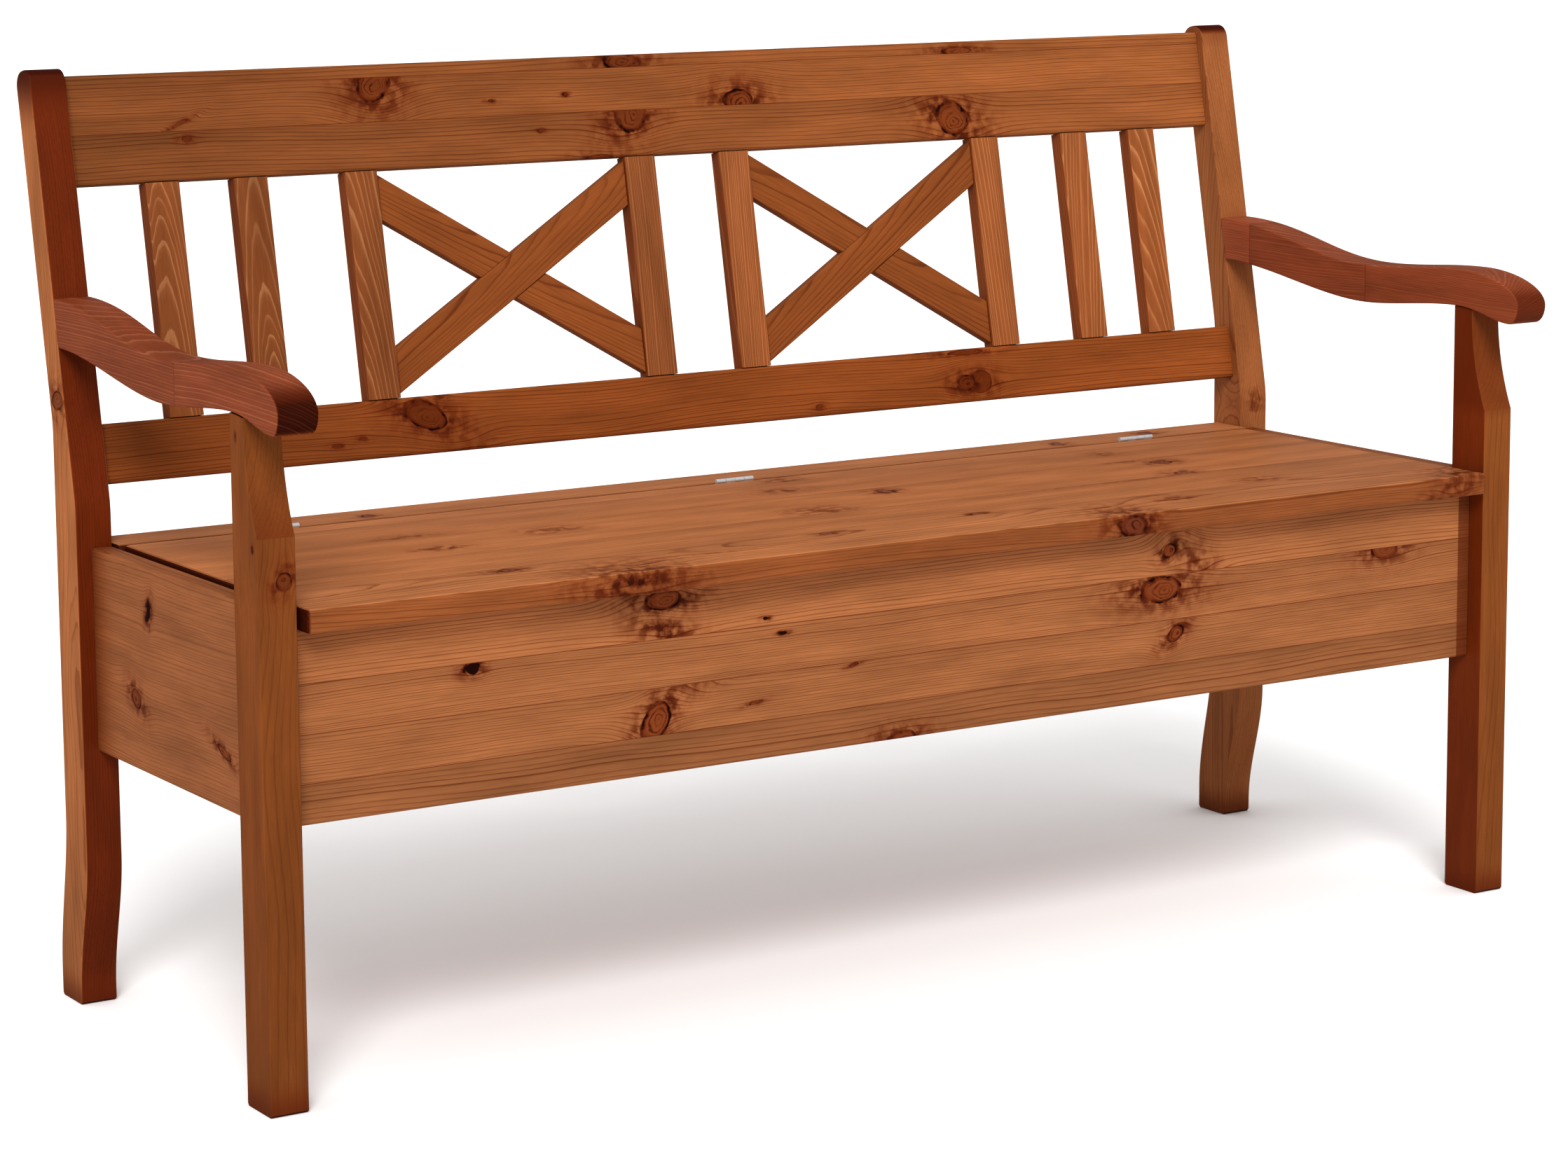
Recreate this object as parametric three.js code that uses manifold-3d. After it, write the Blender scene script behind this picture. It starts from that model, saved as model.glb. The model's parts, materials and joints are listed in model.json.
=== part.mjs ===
// Settle bench: a pine bench with a storage box under a hinged lid, scrolled arms and a leaning
// back of slats and crossed braces. Millimetres, +X along the bench to the right, +Y to the back,
// +Z up. The side profiles are drawn from the front face of the front legs, on the floor.
import * as THREE from "three";
import { mergeVertices } from "three/addons/utils/BufferGeometryUtils.js";
import Module from "manifold-3d";

const wasm = await Module();
wasm.setup();

// Whole bench
const benchLength = 1450;
const seatHeight = 457.5;
const backHeight = 450.5; // from the seat to the posts' tops
const postSetback = 408; // from the front legs' front faces to the posts' front faces
const fit = 0.3; // clearance between pieces that are joined
const overrun = 6; // how far a cutter runs past the face that it opens

// Front legs
const legWidth = 37;
const legDepth = 50;
const legArris = 1.8;
const neckHollow = 22.5; // how far the neck is cut back at the arm
const neckRise = 105;
const shoulderDrop = 107.3; // from the arm's underside to the shoulder

// Back posts
const postDepth = 50;
const postTopDepth = 35;
const postTopRound = 15;
const backLean = THREE.MathUtils.degToRad(10.9);
const leanRise = 37.5; // from the seat to where the front edge starts to lean
const leanBlend = 11; // half the length of the bend
const footSweep = 23.5;
const footDepth = 48;
const frontSweepTop = 150;
const frontSweepBottom = 15;
const rearSweepTop = 185;
const rearSweepBottom = 28;

// Armrests
const armWidth = 39;
const armArris = 2;
const armRise = 171.8; // from the seat to the underside over the front leg
const armSeatDepth = 39.2; // thickness over the front leg
const armRearRise = 63.2; // from that underside to the rear end's top
const armRearDepth = 46.5;
const armDipRise = 31.2; // from that underside to the top at the dip
const armDipDepth = 41;
const armDipSetback = 211; // in front of the post
const noseReach = 50; // in front of the front leg
const noseRise = 6.7; // from that underside to the nose's foremost point
const noseDrop = 12.3; // from that underside to the lip under the nose
const noseCorner = 15; // from the nose's front to the lip under it
const crestShare = 0.8; // of the leg's depth, behind its front face

// Armrest curves: how long each curve's handles are, as shares of its run or rise
const rearTopShare = 0.44;
const dipRearShare = 0.38;
const dipFrontShare = 0.36;
const crestNoseShare = 0.5;
const noseTopShare = 0.58;
const noseLowShare = 0.5;
const lipFrontShare = 0.6;
const lipRearShare = 0.32;
const seatFrontShare = 0.48;
const seatRearShare = 0.3;
const underRearShare = 0.32;

// Back rails, slats and braces, measured along the lean
const backSet = 10.3; // behind the posts' front faces
const backThickness = 18;
const lowerRailRise = 20.4; // from where the posts start to lean
const lowerRailWidth = 58.2;
const topRailWidth = 107;
const topRailDrop = 7.7; // from the posts' tops to the top rail
const railArris = 3;
const slatWidth = 36.5;
const slatArris = 1.8;
const slatPlaceShares = [0.0835, 0.553, 0.728, 0.865]; // of the way from the middle to a post
const braceCut = 46; // height of a brace's upright end
const braceThickness = 12.5;
const braceSet = 2.5; // behind the slats' front faces
const braceShort = 4.1; // from a brace's corner to the rail
const braceArris = 1.2;

// Storage box
const boxBottom = 256.5;
const panelThickness = 22;
const panelArris = 2.5;
const sidePanelInset = 16; // behind the legs' outer faces
const sidePanelDrop = 2.5; // below the top of the lid
const frontPanelInset = 20.5; // behind the legs' front faces
const backPanelInset = 5.5; // in front of the posts' rear faces
const panelEndGap = 0.8;
const bottomThickness = 9;
const battenSize = 20;
const battenLift = 4;

// Seat
const lidThickness = 22;
const lidArris = 2.5;
const lidCorner = 4;
const lidOverhang = 11; // in front of the legs
const lidSideGap = 5.5; // beside the legs
const stripDepth = 57;
const lidBattenWidth = 45;
const lidBattenThickness = 18;
const lidBattenSetback = 30;
const lidBattenPlaceShares = [-0.68, 0, 0.68];

// Joints
const tenonThickness = 8;
const railTenonLength = 15;
const slatTenonLength = 8;
const tenonShoulder = 5;
const tongueLength = 10;
const tongueShoulder = 14;
const dowelRadius = 4;
const dowelLength = 30;

// Hinges
const hingeLength = 45;
const hingeInset = 158.5; // from the lid's end to the middle of an outer hinge
const hingeShift = 4; // the row of hinges stands this far to the right
const hingeRise = 1.9; // axis above the lid
const leafThickness = 0.9;
const leafDrop = 18; // from the axis to the leaf's lower edge
const pinRadius = 1.1;
const knucklesPerHinge = 4;
const screwHoleRadius = 1.7;
const screwHoleInset = 9;

// Faces, in steps
const curveSteps = 9;
const arrisSteps = 2;
const roundSteps = 16;

// What follows from the sizes above
const halfLength = benchLength / 2;
const legInner = halfLength - legWidth;
const legCentre = halfLength - legWidth / 2;
const postRear = postSetback + postDepth;
const armSeatHeight = seatHeight + armRise;
const armRearTop = armSeatHeight + armRearRise;
const armDipTop = armSeatHeight + armDipRise;
const shoulderHeight = armSeatHeight - shoulderDrop;
const leanHeight = seatHeight + leanRise;
const leanSin = Math.sin(backLean);
const leanCos = Math.cos(backLean);
const leanTan = Math.tan(backLean);
const roundMiddleRise = (backHeight - leanRise - postTopRound * (1 - leanSin)) / leanCos;
const postTopRise = roundMiddleRise + postTopRound;
const roundMiddleRear = (postTopDepth - postTopRound) * leanCos + roundMiddleRise * leanSin;
const postTopRear = postSetback + roundMiddleRear + postTopRound;
const slatRise = lowerRailRise + lowerRailWidth;
const topRailRise = postTopRise - topRailDrop - topRailWidth;
const slatReach = topRailRise - slatRise;
const lidBottom = seatHeight - lidThickness;
const panelTop = lidBottom - fit;
const sidePanelTop = seatHeight - sidePanelDrop;
const sidePanelInner = halfLength - sidePanelInset - panelThickness;
const stripRear = postRear - backPanelInset;
const stripFront = stripRear - stripDepth;
const leafSeat = fit / 2 + leafThickness + fit; // from the axis to the wood that carries a leaf
const hingeLine = stripFront - leafSeat;
const hingeHeight = seatHeight + hingeRise;
const lidRear = hingeLine - leafSeat;
const lidHalfLength = legInner - lidSideGap;
const hingeSpacing = lidHalfLength - hingeInset;
const boreRadius = pinRadius + fit;
const barrelRadius = boreRadius + leafThickness;

// Materials
const pine = (color) => new THREE.MeshStandardMaterial({ color, roughness: 0.45, metalness: 0 });
const pineDark = pine("#7d3b14");
const pineMiddle = pine("#8f4a1e");
const pineLight = pine("#a35a2c");
const zinc = new THREE.MeshStandardMaterial({ color: "#b9bec2", roughness: 0.3, metalness: 1 });

// Solids

function solidOf(geometry) {
  const bare = geometry.clone();
  bare.deleteAttribute("normal");
  bare.deleteAttribute("uv");
  const merged = mergeVertices(bare);
  const vertProperties = merged.attributes.position.array;
  const triVerts = new Uint32Array(merged.index.array);
  return new wasm.Manifold(new wasm.Mesh({ numProp: 3, vertProperties, triVerts }));
}

function geometryOf(solid) {
  const mesh = solid.getMesh();
  const indexed = new THREE.BufferGeometry();
  indexed.setAttribute("position", new THREE.BufferAttribute(mesh.vertProperties, mesh.numProp));
  indexed.setIndex(new THREE.BufferAttribute(mesh.triVerts, 1));
  const flat = indexed.toNonIndexed();
  flat.computeVertexNormals();
  return flat;
}

function join(geometry, others) {
  return geometryOf(others.reduce((whole, other) => whole.add(solidOf(other)), solidOf(geometry)));
}

function cut(geometry, cutters) {
  return geometryOf(cutters.reduce((left, cutter) => left.subtract(solidOf(cutter)), solidOf(geometry)));
}

function block(sizeX, sizeY, sizeZ, x, y, z) {
  return new THREE.BoxGeometry(sizeX, sizeY, sizeZ).translate(x, y, z);
}

// A round bar along Y, centred
function bar(radius, length) {
  return new THREE.CylinderGeometry(radius, radius, length, roundSteps);
}

// Extrudes a shape and centres it on its length
function extrude(shape, length, arris) {
  const soft = { bevelEnabled: true, bevelThickness: arris, bevelSize: arris, bevelOffset: -arris };
  const sharp = { bevelEnabled: false };
  const edge = arris > 0 ? soft : sharp;
  const depth = length - 2 * arris;
  const options = { ...edge, depth, steps: 1, curveSegments: curveSteps, bevelSegments: arrisSteps };
  return new THREE.ExtrudeGeometry(shape, options).translate(0, 0, -depth / 2);
}

// Turns a geometry drawn in (y, z) and extruded, so that its length lies along X
function alongX(geometry) {
  const x = new THREE.Vector3(1, 0, 0);
  const y = new THREE.Vector3(0, 1, 0);
  const z = new THREE.Vector3(0, 0, 1);
  return geometry.applyMatrix4(new THREE.Matrix4().makeBasis(y, z, x));
}

// Rounds a corner of a path with a quarter turn to the end point
function roundTo(path, from, corner, to) {
  const handleShare = 0.5523;
  const first = from.clone().lerp(corner, handleShare);
  const second = to.clone().lerp(corner, handleShare);
  path.bezierCurveTo(first.x, first.y, second.x, second.y, to.x, to.y);
}

function roundedRectangle(width, height, radius) {
  const shape = new THREE.Shape();
  const [w, h] = [width / 2, height / 2];
  const corners = [[w, -h], [w, h], [-w, h], [-w, -h]].map(([x, y]) => new THREE.Vector2(x, y));
  const near = (corner, other) => corner.clone().add(other.clone().sub(corner).setLength(radius));
  shape.moveTo(-w + radius, -h);
  corners.forEach((corner, i) => {
    const before = near(corner, corners[(i + 3) % 4]);
    const after = near(corner, corners[(i + 1) % 4]);
    shape.lineTo(before.x, before.y);
    roundTo(shape, before, corner, after);
  });
  return shape;
}

// A board with four rounded long edges and square ends, centred, its length along Z
function board(width, thickness, length, arris) {
  const section = roundedRectangle(width, thickness, arris);
  const options = { depth: length, steps: 1, curveSegments: arrisSteps, bevelEnabled: false };
  return new THREE.ExtrudeGeometry(section, options).translate(0, 0, -length / 2);
}

// The same board with its length along X and its width upright
function boardAlongX(height, thickness, length, arris) {
  return alongX(board(thickness, height, length, arris));
}

// The same board with its length along Y and its width upright
function boardAlongY(height, thickness, length, arris) {
  return board(thickness, height, length, arris).rotateX(Math.PI / 2);
}

// Places in the leaning frame of the back: across the lean, then up along it
function leanPoint(behind, rise) {
  const y = postSetback + behind * leanCos + rise * leanSin;
  const z = leanHeight - behind * leanSin + rise * leanCos;
  return new THREE.Vector2(y, z);
}

const leanMatrix = new THREE.Matrix4().makeRotationX(-backLean).setPosition(0, postSetback, leanHeight);

// The leaning front face of the posts at a height
function postFrontAt(height) {
  return postSetback + (height - leanHeight) * leanTan;
}

// Back posts

function sweep(path, fromY, fromZ, toY, toZ) {
  const handle = (toZ - fromZ) / 3;
  path.bezierCurveTo(fromY, fromZ + handle, toY, toZ - handle, toY, toZ);
}

function bend(path, from, corner, to) {
  path.lineTo(from.x, from.y);
  path.quadraticCurveTo(corner.x, corner.y, to.x, to.y);
}

function postProfile() {
  const footFront = postSetback + footSweep;
  const footRear = footFront + footDepth;
  const rearBendRise = (postDepth - postTopDepth * leanCos) / leanSin;
  const rearBend = leanPoint(postTopDepth, rearBendRise);
  const frontBend = leanPoint(0, 0);
  const shape = new THREE.Shape();
  shape.moveTo(footRear, 0);
  shape.lineTo(footRear, rearSweepBottom);
  sweep(shape, footRear, rearSweepBottom, postRear, rearSweepTop);
  bend(
    shape,
    new THREE.Vector2(postRear, rearBend.y - leanBlend),
    rearBend,
    leanPoint(postTopDepth, rearBendRise + leanBlend),
  );
  const topRear = leanPoint(postTopDepth, roundMiddleRise);
  shape.lineTo(topRear.x, topRear.y);
  const topMiddle = leanPoint(postTopDepth - postTopRound, postTopRise);
  roundTo(shape, topRear, leanPoint(postTopDepth, postTopRise), topMiddle);
  const topFront = leanPoint(postTopRound, postTopRise);
  shape.lineTo(topFront.x, topFront.y);
  roundTo(shape, topFront, leanPoint(0, postTopRise), leanPoint(0, roundMiddleRise));
  bend(shape, leanPoint(0, leanBlend), frontBend, new THREE.Vector2(postSetback, leanHeight - leanBlend));
  shape.lineTo(postSetback, frontSweepTop);
  sweep(shape, postSetback, frontSweepTop, footFront, frontSweepBottom);
  shape.lineTo(footFront, 0);
  shape.closePath();
  return shape;
}

// Sockets for a rail's tenon, in a post on one side, cut along the lean
function railSocket(side, rise, width) {
  const length = railTenonLength + fit + overrun;
  const x = side * (legInner - legCentre - overrun + length / 2);
  const y = backSet + backThickness / 2;
  const height = width - 2 * tenonShoulder + 2 * fit;
  const socket = block(length, tenonThickness + 2 * fit, height, x, y, rise + width / 2);
  return socket.applyMatrix4(leanMatrix);
}

function tongueHeight(top) {
  return top - boxBottom - 2 * tongueShoulder;
}

// A groove for a panel's tongue that runs along X into a leg or post
function grooveAlongX(side, y, top) {
  const length = tongueLength + fit + overrun;
  const x = side * (legInner - legCentre - overrun + length / 2);
  return block(length, tenonThickness + 2 * fit, tongueHeight(top) + 2 * fit, x, y, (top + boxBottom) / 2);
}

// A groove for a side panel's tongue that runs along Y from a face of a leg or post
function grooveAlongY(side, face, inward) {
  const length = tongueLength + fit + overrun;
  const x = side * (sidePanelInner + panelThickness / 2 - legCentre);
  const y = face + inward * (length / 2 - overrun);
  const height = tongueHeight(sidePanelTop) + 2 * fit;
  return block(tenonThickness + 2 * fit, length, height, x, y, (sidePanelTop + boxBottom) / 2);
}

const armPinRise = (armRearTop - armRearDepth / 2 - leanHeight) / leanCos;

// The dowel between arm and post, or its bore, in the leaning frame
function armRearPin(radius, length) {
  return bar(radius, length).translate(0, 0, armPinRise).applyMatrix4(leanMatrix);
}

function post(side) {
  const pinOffset = side * (armWidth - legWidth) / 2;
  return cut(alongX(extrude(postProfile(), legWidth, legArris)), [
    railSocket(side, lowerRailRise, lowerRailWidth),
    railSocket(side, topRailRise, topRailWidth),
    grooveAlongX(side, stripRear - panelThickness / 2, panelTop),
    grooveAlongY(side, postSetback, 1),
    armRearPin(dowelRadius + fit, dowelLength + 2 * fit).translate(-pinOffset, 0, 0),
  ]);
}

// Armrests

// A curve that leaves one point level and reaches the next one level
function levelCurve(path, from, to, fromShare, toShare) {
  const run = to.x - from.x;
  path.bezierCurveTo(from.x + fromShare * run, from.y, to.x - toShare * run, to.y, to.x, to.y);
}

function armProfile() {
  const rearTop = new THREE.Vector2(postFrontAt(armRearTop) - fit / leanCos, armRearTop);
  const rearLow = armRearTop - armRearDepth;
  const rearBottom = new THREE.Vector2(postFrontAt(rearLow) - fit / leanCos, rearLow);
  const dip = new THREE.Vector2(postSetback - armDipSetback, armDipTop);
  const dipUnder = new THREE.Vector2(dip.x, armDipTop - armDipDepth);
  const crest = new THREE.Vector2(legDepth * crestShare, armSeatHeight + armSeatDepth);
  const nose = new THREE.Vector2(-noseReach, armSeatHeight + noseRise);
  const lip = new THREE.Vector2(noseCorner - noseReach, armSeatHeight - noseDrop);
  const seat = new THREE.Vector2(legDepth, armSeatHeight);
  const shape = new THREE.Shape();
  shape.moveTo(rearBottom.x, rearBottom.y);
  shape.lineTo(rearTop.x, rearTop.y);
  levelCurve(shape, rearTop, dip, rearTopShare, dipRearShare);
  levelCurve(shape, dip, crest, dipFrontShare, dipFrontShare);
  const noseTop = nose.y + noseTopShare * (crest.y - nose.y);
  const crestFront = crest.x + crestNoseShare * (nose.x - crest.x);
  shape.bezierCurveTo(crestFront, crest.y, nose.x, noseTop, nose.x, nose.y);
  const noseLow = nose.y + noseLowShare * (lip.y - nose.y);
  shape.bezierCurveTo(nose.x, noseLow, lip.x - lipFrontShare * noseCorner, lip.y, lip.x, lip.y);
  levelCurve(shape, lip, seat, lipRearShare, seatFrontShare);
  levelCurve(shape, seat, dipUnder, seatRearShare, seatRearShare);
  levelCurve(shape, dipUnder, rearBottom, underRearShare, underRearShare);
  return shape;
}

const armFrontPinY = (neckHollow + legDepth) / 2;

// The upright dowel between arm and front leg, or its bore
function armFrontPin(radius, length) {
  return bar(radius, length).rotateX(Math.PI / 2).translate(0, armFrontPinY, armSeatHeight);
}

function arm() {
  return cut(alongX(extrude(armProfile(), armWidth, armArris)), [
    armFrontPin(dowelRadius + fit, dowelLength + 2 * fit),
    armRearPin(dowelRadius + fit, dowelLength + 2 * fit),
  ]);
}

// Front legs

function legProfile() {
  const blankTop = armSeatHeight + armSeatDepth / 2;
  const neckTop = shoulderHeight + neckRise;
  const neckRadius = (neckRise ** 2 + neckHollow ** 2) / (2 * neckHollow);
  const shape = new THREE.Shape();
  shape.moveTo(0, 0);
  shape.lineTo(legDepth, 0);
  shape.lineTo(legDepth, blankTop);
  shape.lineTo(neckHollow, blankTop);
  shape.lineTo(neckHollow, neckTop);
  shape.absarc(neckHollow - neckRadius, neckTop, neckRadius, 0, -Math.asin(neckRise / neckRadius), true);
  shape.closePath();
  return shape;
}

function frontLeg(side) {
  const armAbove = alongX(extrude(armProfile(), armWidth + 2 * overrun, 0)).translate(0, 0, -fit);
  const pinOffset = side * (armWidth - legWidth) / 2;
  return cut(alongX(extrude(legProfile(), legWidth, legArris)), [
    armAbove,
    armFrontPin(dowelRadius + fit, dowelLength + 2 * fit).translate(-pinOffset, 0, 0),
    grooveAlongX(side, frontPanelInset + panelThickness / 2, panelTop),
    grooveAlongY(side, legDepth, -1),
  ]);
}

// Back rails

const railHalfLength = legInner - fit;
const rightSlatPlaces = slatPlaceShares.map((share) => share * legInner);
const slatPlaces = [...rightSlatPlaces.map((x) => -x).reverse(), ...rightSlatPlaces];

function slatSocket(x, edge, inward) {
  const length = slatTenonLength + fit + overrun;
  const width = slatWidth - 2 * tenonShoulder + 2 * fit;
  return block(width, tenonThickness + 2 * fit, length, x, 0, edge + inward * (length / 2 - overrun));
}

function rail(width, slatEdge, inward) {
  const length = 2 * (railHalfLength + railTenonLength);
  const plank = boardAlongX(width, backThickness, 2 * railHalfLength, railArris);
  const tenons = block(length, tenonThickness, width - 2 * tenonShoulder, 0, 0, 0);
  return cut(join(plank, [tenons]), slatPlaces.map((x) => slatSocket(x, slatEdge, inward)));
}

// Back slats

function slat() {
  const length = slatReach - 2 * fit;
  const stick = board(slatWidth, backThickness, length, slatArris);
  const tenonWidth = slatWidth - 2 * tenonShoulder;
  return join(stick, [block(tenonWidth, tenonThickness, length + 2 * slatTenonLength, 0, 0, 0)]);
}

// Crossed braces

const [innerSlatPlace, outerSlatPlace] = rightSlatPlaces;
const crossInner = innerSlatPlace + slatWidth / 2 + fit;
const crossOuter = outerSlatPlace - slatWidth / 2 - fit;
const crossWidth = crossOuter - crossInner;
const braceClimb = slatReach - 2 * braceShort - braceCut;

// A brace's face: upright ends, its middle on the crossing. Climb is negative on a falling brace
function braceFace(climb, width, height) {
  const [x, z] = [width / 2, (climb * width) / crossWidth / 2];
  const shape = new THREE.Shape();
  shape.moveTo(-x, -z - height / 2);
  shape.lineTo(x, z - height / 2);
  shape.lineTo(x, z + height / 2);
  shape.lineTo(-x, -z + height / 2);
  shape.closePath();
  return shape;
}

// Turns what is drawn in (x, z) and extruded, so that its thickness lies along Y
function facing(geometry) {
  return geometry.rotateX(Math.PI / 2);
}

// One brace with its half-lap, and the half of the other brace that the lap makes room for
function brace(climb, lapSide) {
  const lapHeight = braceCut + 2 * fit / Math.cos(Math.atan(braceClimb / crossWidth));
  const lapDepth = braceThickness / 2 + fit / 2 + overrun;
  const lap = facing(extrude(braceFace(-climb, crossWidth, lapHeight), lapDepth, 0));
  lap.translate(0, lapSide * (lapDepth / 2 - fit / 2), 0);
  return cut(facing(extrude(braceFace(climb, crossWidth, braceCut), braceThickness, braceArris)), [lap]);
}

// Box

function frontPanel() {
  const height = panelTop - boxBottom;
  const halfSpan = legInner - panelEndGap;
  const plank = boardAlongX(height, panelThickness, 2 * halfSpan, panelArris);
  const tongueSpan = 2 * (legInner + tongueLength);
  return join(plank, [block(tongueSpan, tenonThickness, tongueHeight(panelTop), 0, 0, 0)]);
}

function backPanel() {
  const height = panelTop - boxBottom;
  const plank = boardAlongX(height, panelThickness, 2 * (legInner - fit), panelArris);
  const tongueSpan = 2 * (legInner + tongueLength);
  return join(plank, [block(tongueSpan, tenonThickness, tongueHeight(panelTop), 0, 0, 0)]);
}

function sidePanel() {
  const run = postSetback - legDepth;
  const plank = boardAlongY(sidePanelTop - boxBottom, panelThickness, run - 2 * fit, panelArris);
  return join(plank, [block(tenonThickness, run + 2 * tongueLength, tongueHeight(sidePanelTop), 0, 0, 0)]);
}

// Seat

function slab(length, depth, thickness, corner, arris) {
  return extrude(roundedRectangle(length, depth, corner), thickness, arris);
}

// Hinges

const knuckleLength = hingeLength / knucklesPerHinge;

function knuckle(index) {
  const ring = new THREE.Shape().absarc(0, 0, barrelRadius, 0, 2 * Math.PI);
  ring.holes.push(new THREE.Path().absarc(0, 0, boreRadius, 0, 2 * Math.PI));
  const depth = knuckleLength - fit;
  const options = { depth, steps: 1, curveSegments: roundSteps, bevelEnabled: false };
  const x = (index + 0.5) * knuckleLength - hingeLength / 2;
  return alongX(new THREE.ExtrudeGeometry(ring, options).translate(0, 0, x - depth / 2));
}

// The tab that joins a knuckle to its leaf, on the side where the leaf lies
function leafTab(index, side) {
  const top = -(boreRadius + leafThickness / 4);
  const bottom = -(barrelRadius + 2 * fit);
  const x = (index + 0.5) * knuckleLength - hingeLength / 2;
  const y = side * (fit + leafThickness) / 2;
  return block(knuckleLength - fit, leafThickness, top - bottom, x, y, (top + bottom) / 2);
}

function leafScrewHole(x, side) {
  const z = -(leafDrop + barrelRadius) / 2;
  return bar(screwHoleRadius, leafThickness + 2 * overrun).translate(x, (side * leafThickness) / 2, z);
}

// Side is 1 for the leaf on the strip and -1 for the leaf on the lid
function leaf(side) {
  const top = -(barrelRadius + fit);
  const y = side * (fit + leafThickness) / 2;
  const plate = block(hingeLength, leafThickness, leafDrop + top, 0, y, (top - leafDrop) / 2);
  const own = [...Array(knucklesPerHinge).keys()].filter((i) => (i % 2 === 0) === (side > 0));
  const whole = join(plate, own.flatMap((i) => [leafTab(i, side), knuckle(i)]));
  const holeX = hingeLength / 2 - screwHoleInset;
  return cut(whole, [leafScrewHole(-holeX, side), leafScrewHole(holeX, side)]);
}

// Assembly

const bench = new THREE.Group();
bench.position.y = -(postTopRear - noseReach) / 2;
const leaning = new THREE.Group();
leaning.position.set(0, postSetback, leanHeight);
leaning.rotation.x = -backLean;
bench.add(leaning);

function place(group, name, geometry, material, x, y, z) {
  const mesh = new THREE.Mesh(geometry, material);
  mesh.name = name;
  mesh.position.set(x, y, z);
  group.add(mesh);
}

const sides = [["left", -1], ["right", 1]];

for (const [word, side] of sides) {
  const armCentre = side * (halfLength - armWidth / 2);
  place(bench, `${word}_back_post`, post(side), pineDark, side * legCentre, 0, 0);
  place(bench, `${word}_front_leg`, frontLeg(side), pineMiddle, side * legCentre, 0, 0);
  place(bench, `${word}_armrest`, arm(), pineLight, armCentre, 0, 0);
  const frontPin = armFrontPin(dowelRadius, dowelLength);
  const rearPin = armRearPin(dowelRadius, dowelLength);
  place(bench, `${word}_arm_front_dowel`, frontPin, pineLight, armCentre, 0, 0);
  place(bench, `${word}_arm_rear_dowel`, rearPin, pineLight, armCentre, 0, 0);
}

const backCentre = backSet + backThickness / 2;
const lowerRail = rail(lowerRailWidth, lowerRailWidth / 2, -1);
const topRail = rail(topRailWidth, -topRailWidth / 2, 1);
place(leaning, "lower_back_rail", lowerRail, pineMiddle, 0, backCentre, lowerRailRise + lowerRailWidth / 2);
place(leaning, "top_back_rail", topRail, pineLight, 0, backCentre, topRailRise + topRailWidth / 2);

slatPlaces.forEach((x, i) => {
  place(leaning, `back_slat_${i + 1}`, slat(), pineMiddle, x, backCentre, slatRise + slatReach / 2);
});

for (const [word, side] of sides) {
  const x = side * (crossInner + crossOuter) / 2;
  const y = backSet + braceSet + braceThickness / 2;
  const z = slatRise + slatReach / 2;
  place(leaning, `${word}_rising_brace`, brace(braceClimb, 1), pineMiddle, x, y, z);
  place(leaning, `${word}_falling_brace`, brace(-braceClimb, -1), pineMiddle, x, y, z);
}

const panelMiddle = (panelTop + boxBottom) / 2;
const frontPanelRear = frontPanelInset + panelThickness;
const backPanelFront = stripRear - panelThickness;
const frontPanelMiddle = frontPanelRear - panelThickness / 2;
const backPanelMiddle = backPanelFront + panelThickness / 2;
place(bench, "box_front_panel", frontPanel(), pineLight, 0, frontPanelMiddle, panelMiddle);
place(bench, "box_back_panel", backPanel(), pineLight, 0, backPanelMiddle, panelMiddle);
for (const [word, side] of sides) {
  const x = side * (sidePanelInner + panelThickness / 2);
  const y = (legDepth + postSetback) / 2;
  place(bench, `box_${word}_side_panel`, sidePanel(), pineLight, x, y, (sidePanelTop + boxBottom) / 2);
}

const insideHalf = sidePanelInner - fit;
const insideFront = frontPanelRear + fit;
const insideRear = backPanelFront - fit;
const insideMiddle = (insideFront + insideRear) / 2;
const battenHeight = boxBottom + battenLift + battenSize / 2;
const floorHeight = boxBottom + battenLift + battenSize + fit + bottomThickness / 2;
const floorBoard = new THREE.BoxGeometry(2 * insideHalf, insideRear - insideFront, bottomThickness);
place(bench, "box_bottom_panel", floorBoard, pineMiddle, 0, insideMiddle, floorHeight);
const longBatten = new THREE.BoxGeometry(2 * insideHalf, battenSize, battenSize);
const frontBattenMiddle = insideFront + battenSize / 2;
const rearBattenMiddle = insideRear - battenSize / 2;
place(bench, "box_front_batten", longBatten, pineMiddle, 0, frontBattenMiddle, battenHeight);
place(bench, "box_rear_batten", longBatten.clone(), pineMiddle, 0, rearBattenMiddle, battenHeight);
const shortSpan = insideRear - insideFront - 2 * (battenSize + fit);
for (const [word, side] of sides) {
  const batten = new THREE.BoxGeometry(battenSize, shortSpan, battenSize);
  const x = side * (insideHalf - battenSize / 2);
  place(bench, `box_${word}_batten`, batten, pineMiddle, x, insideMiddle, battenHeight);
}

const lidDepth = lidRear + lidOverhang;
const lidMiddle = seatHeight - lidThickness / 2;
const lid = slab(2 * lidHalfLength, lidDepth, lidThickness, lidCorner, lidArris);
place(bench, "seat_lid", lid, pineLight, 0, lidRear - lidDepth / 2, lidMiddle);
const strip = boardAlongX(lidThickness, stripDepth, 2 * insideHalf, lidArris);
place(bench, "seat_back_strip", strip, pineLight, 0, stripRear - stripDepth / 2, lidMiddle);

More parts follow.
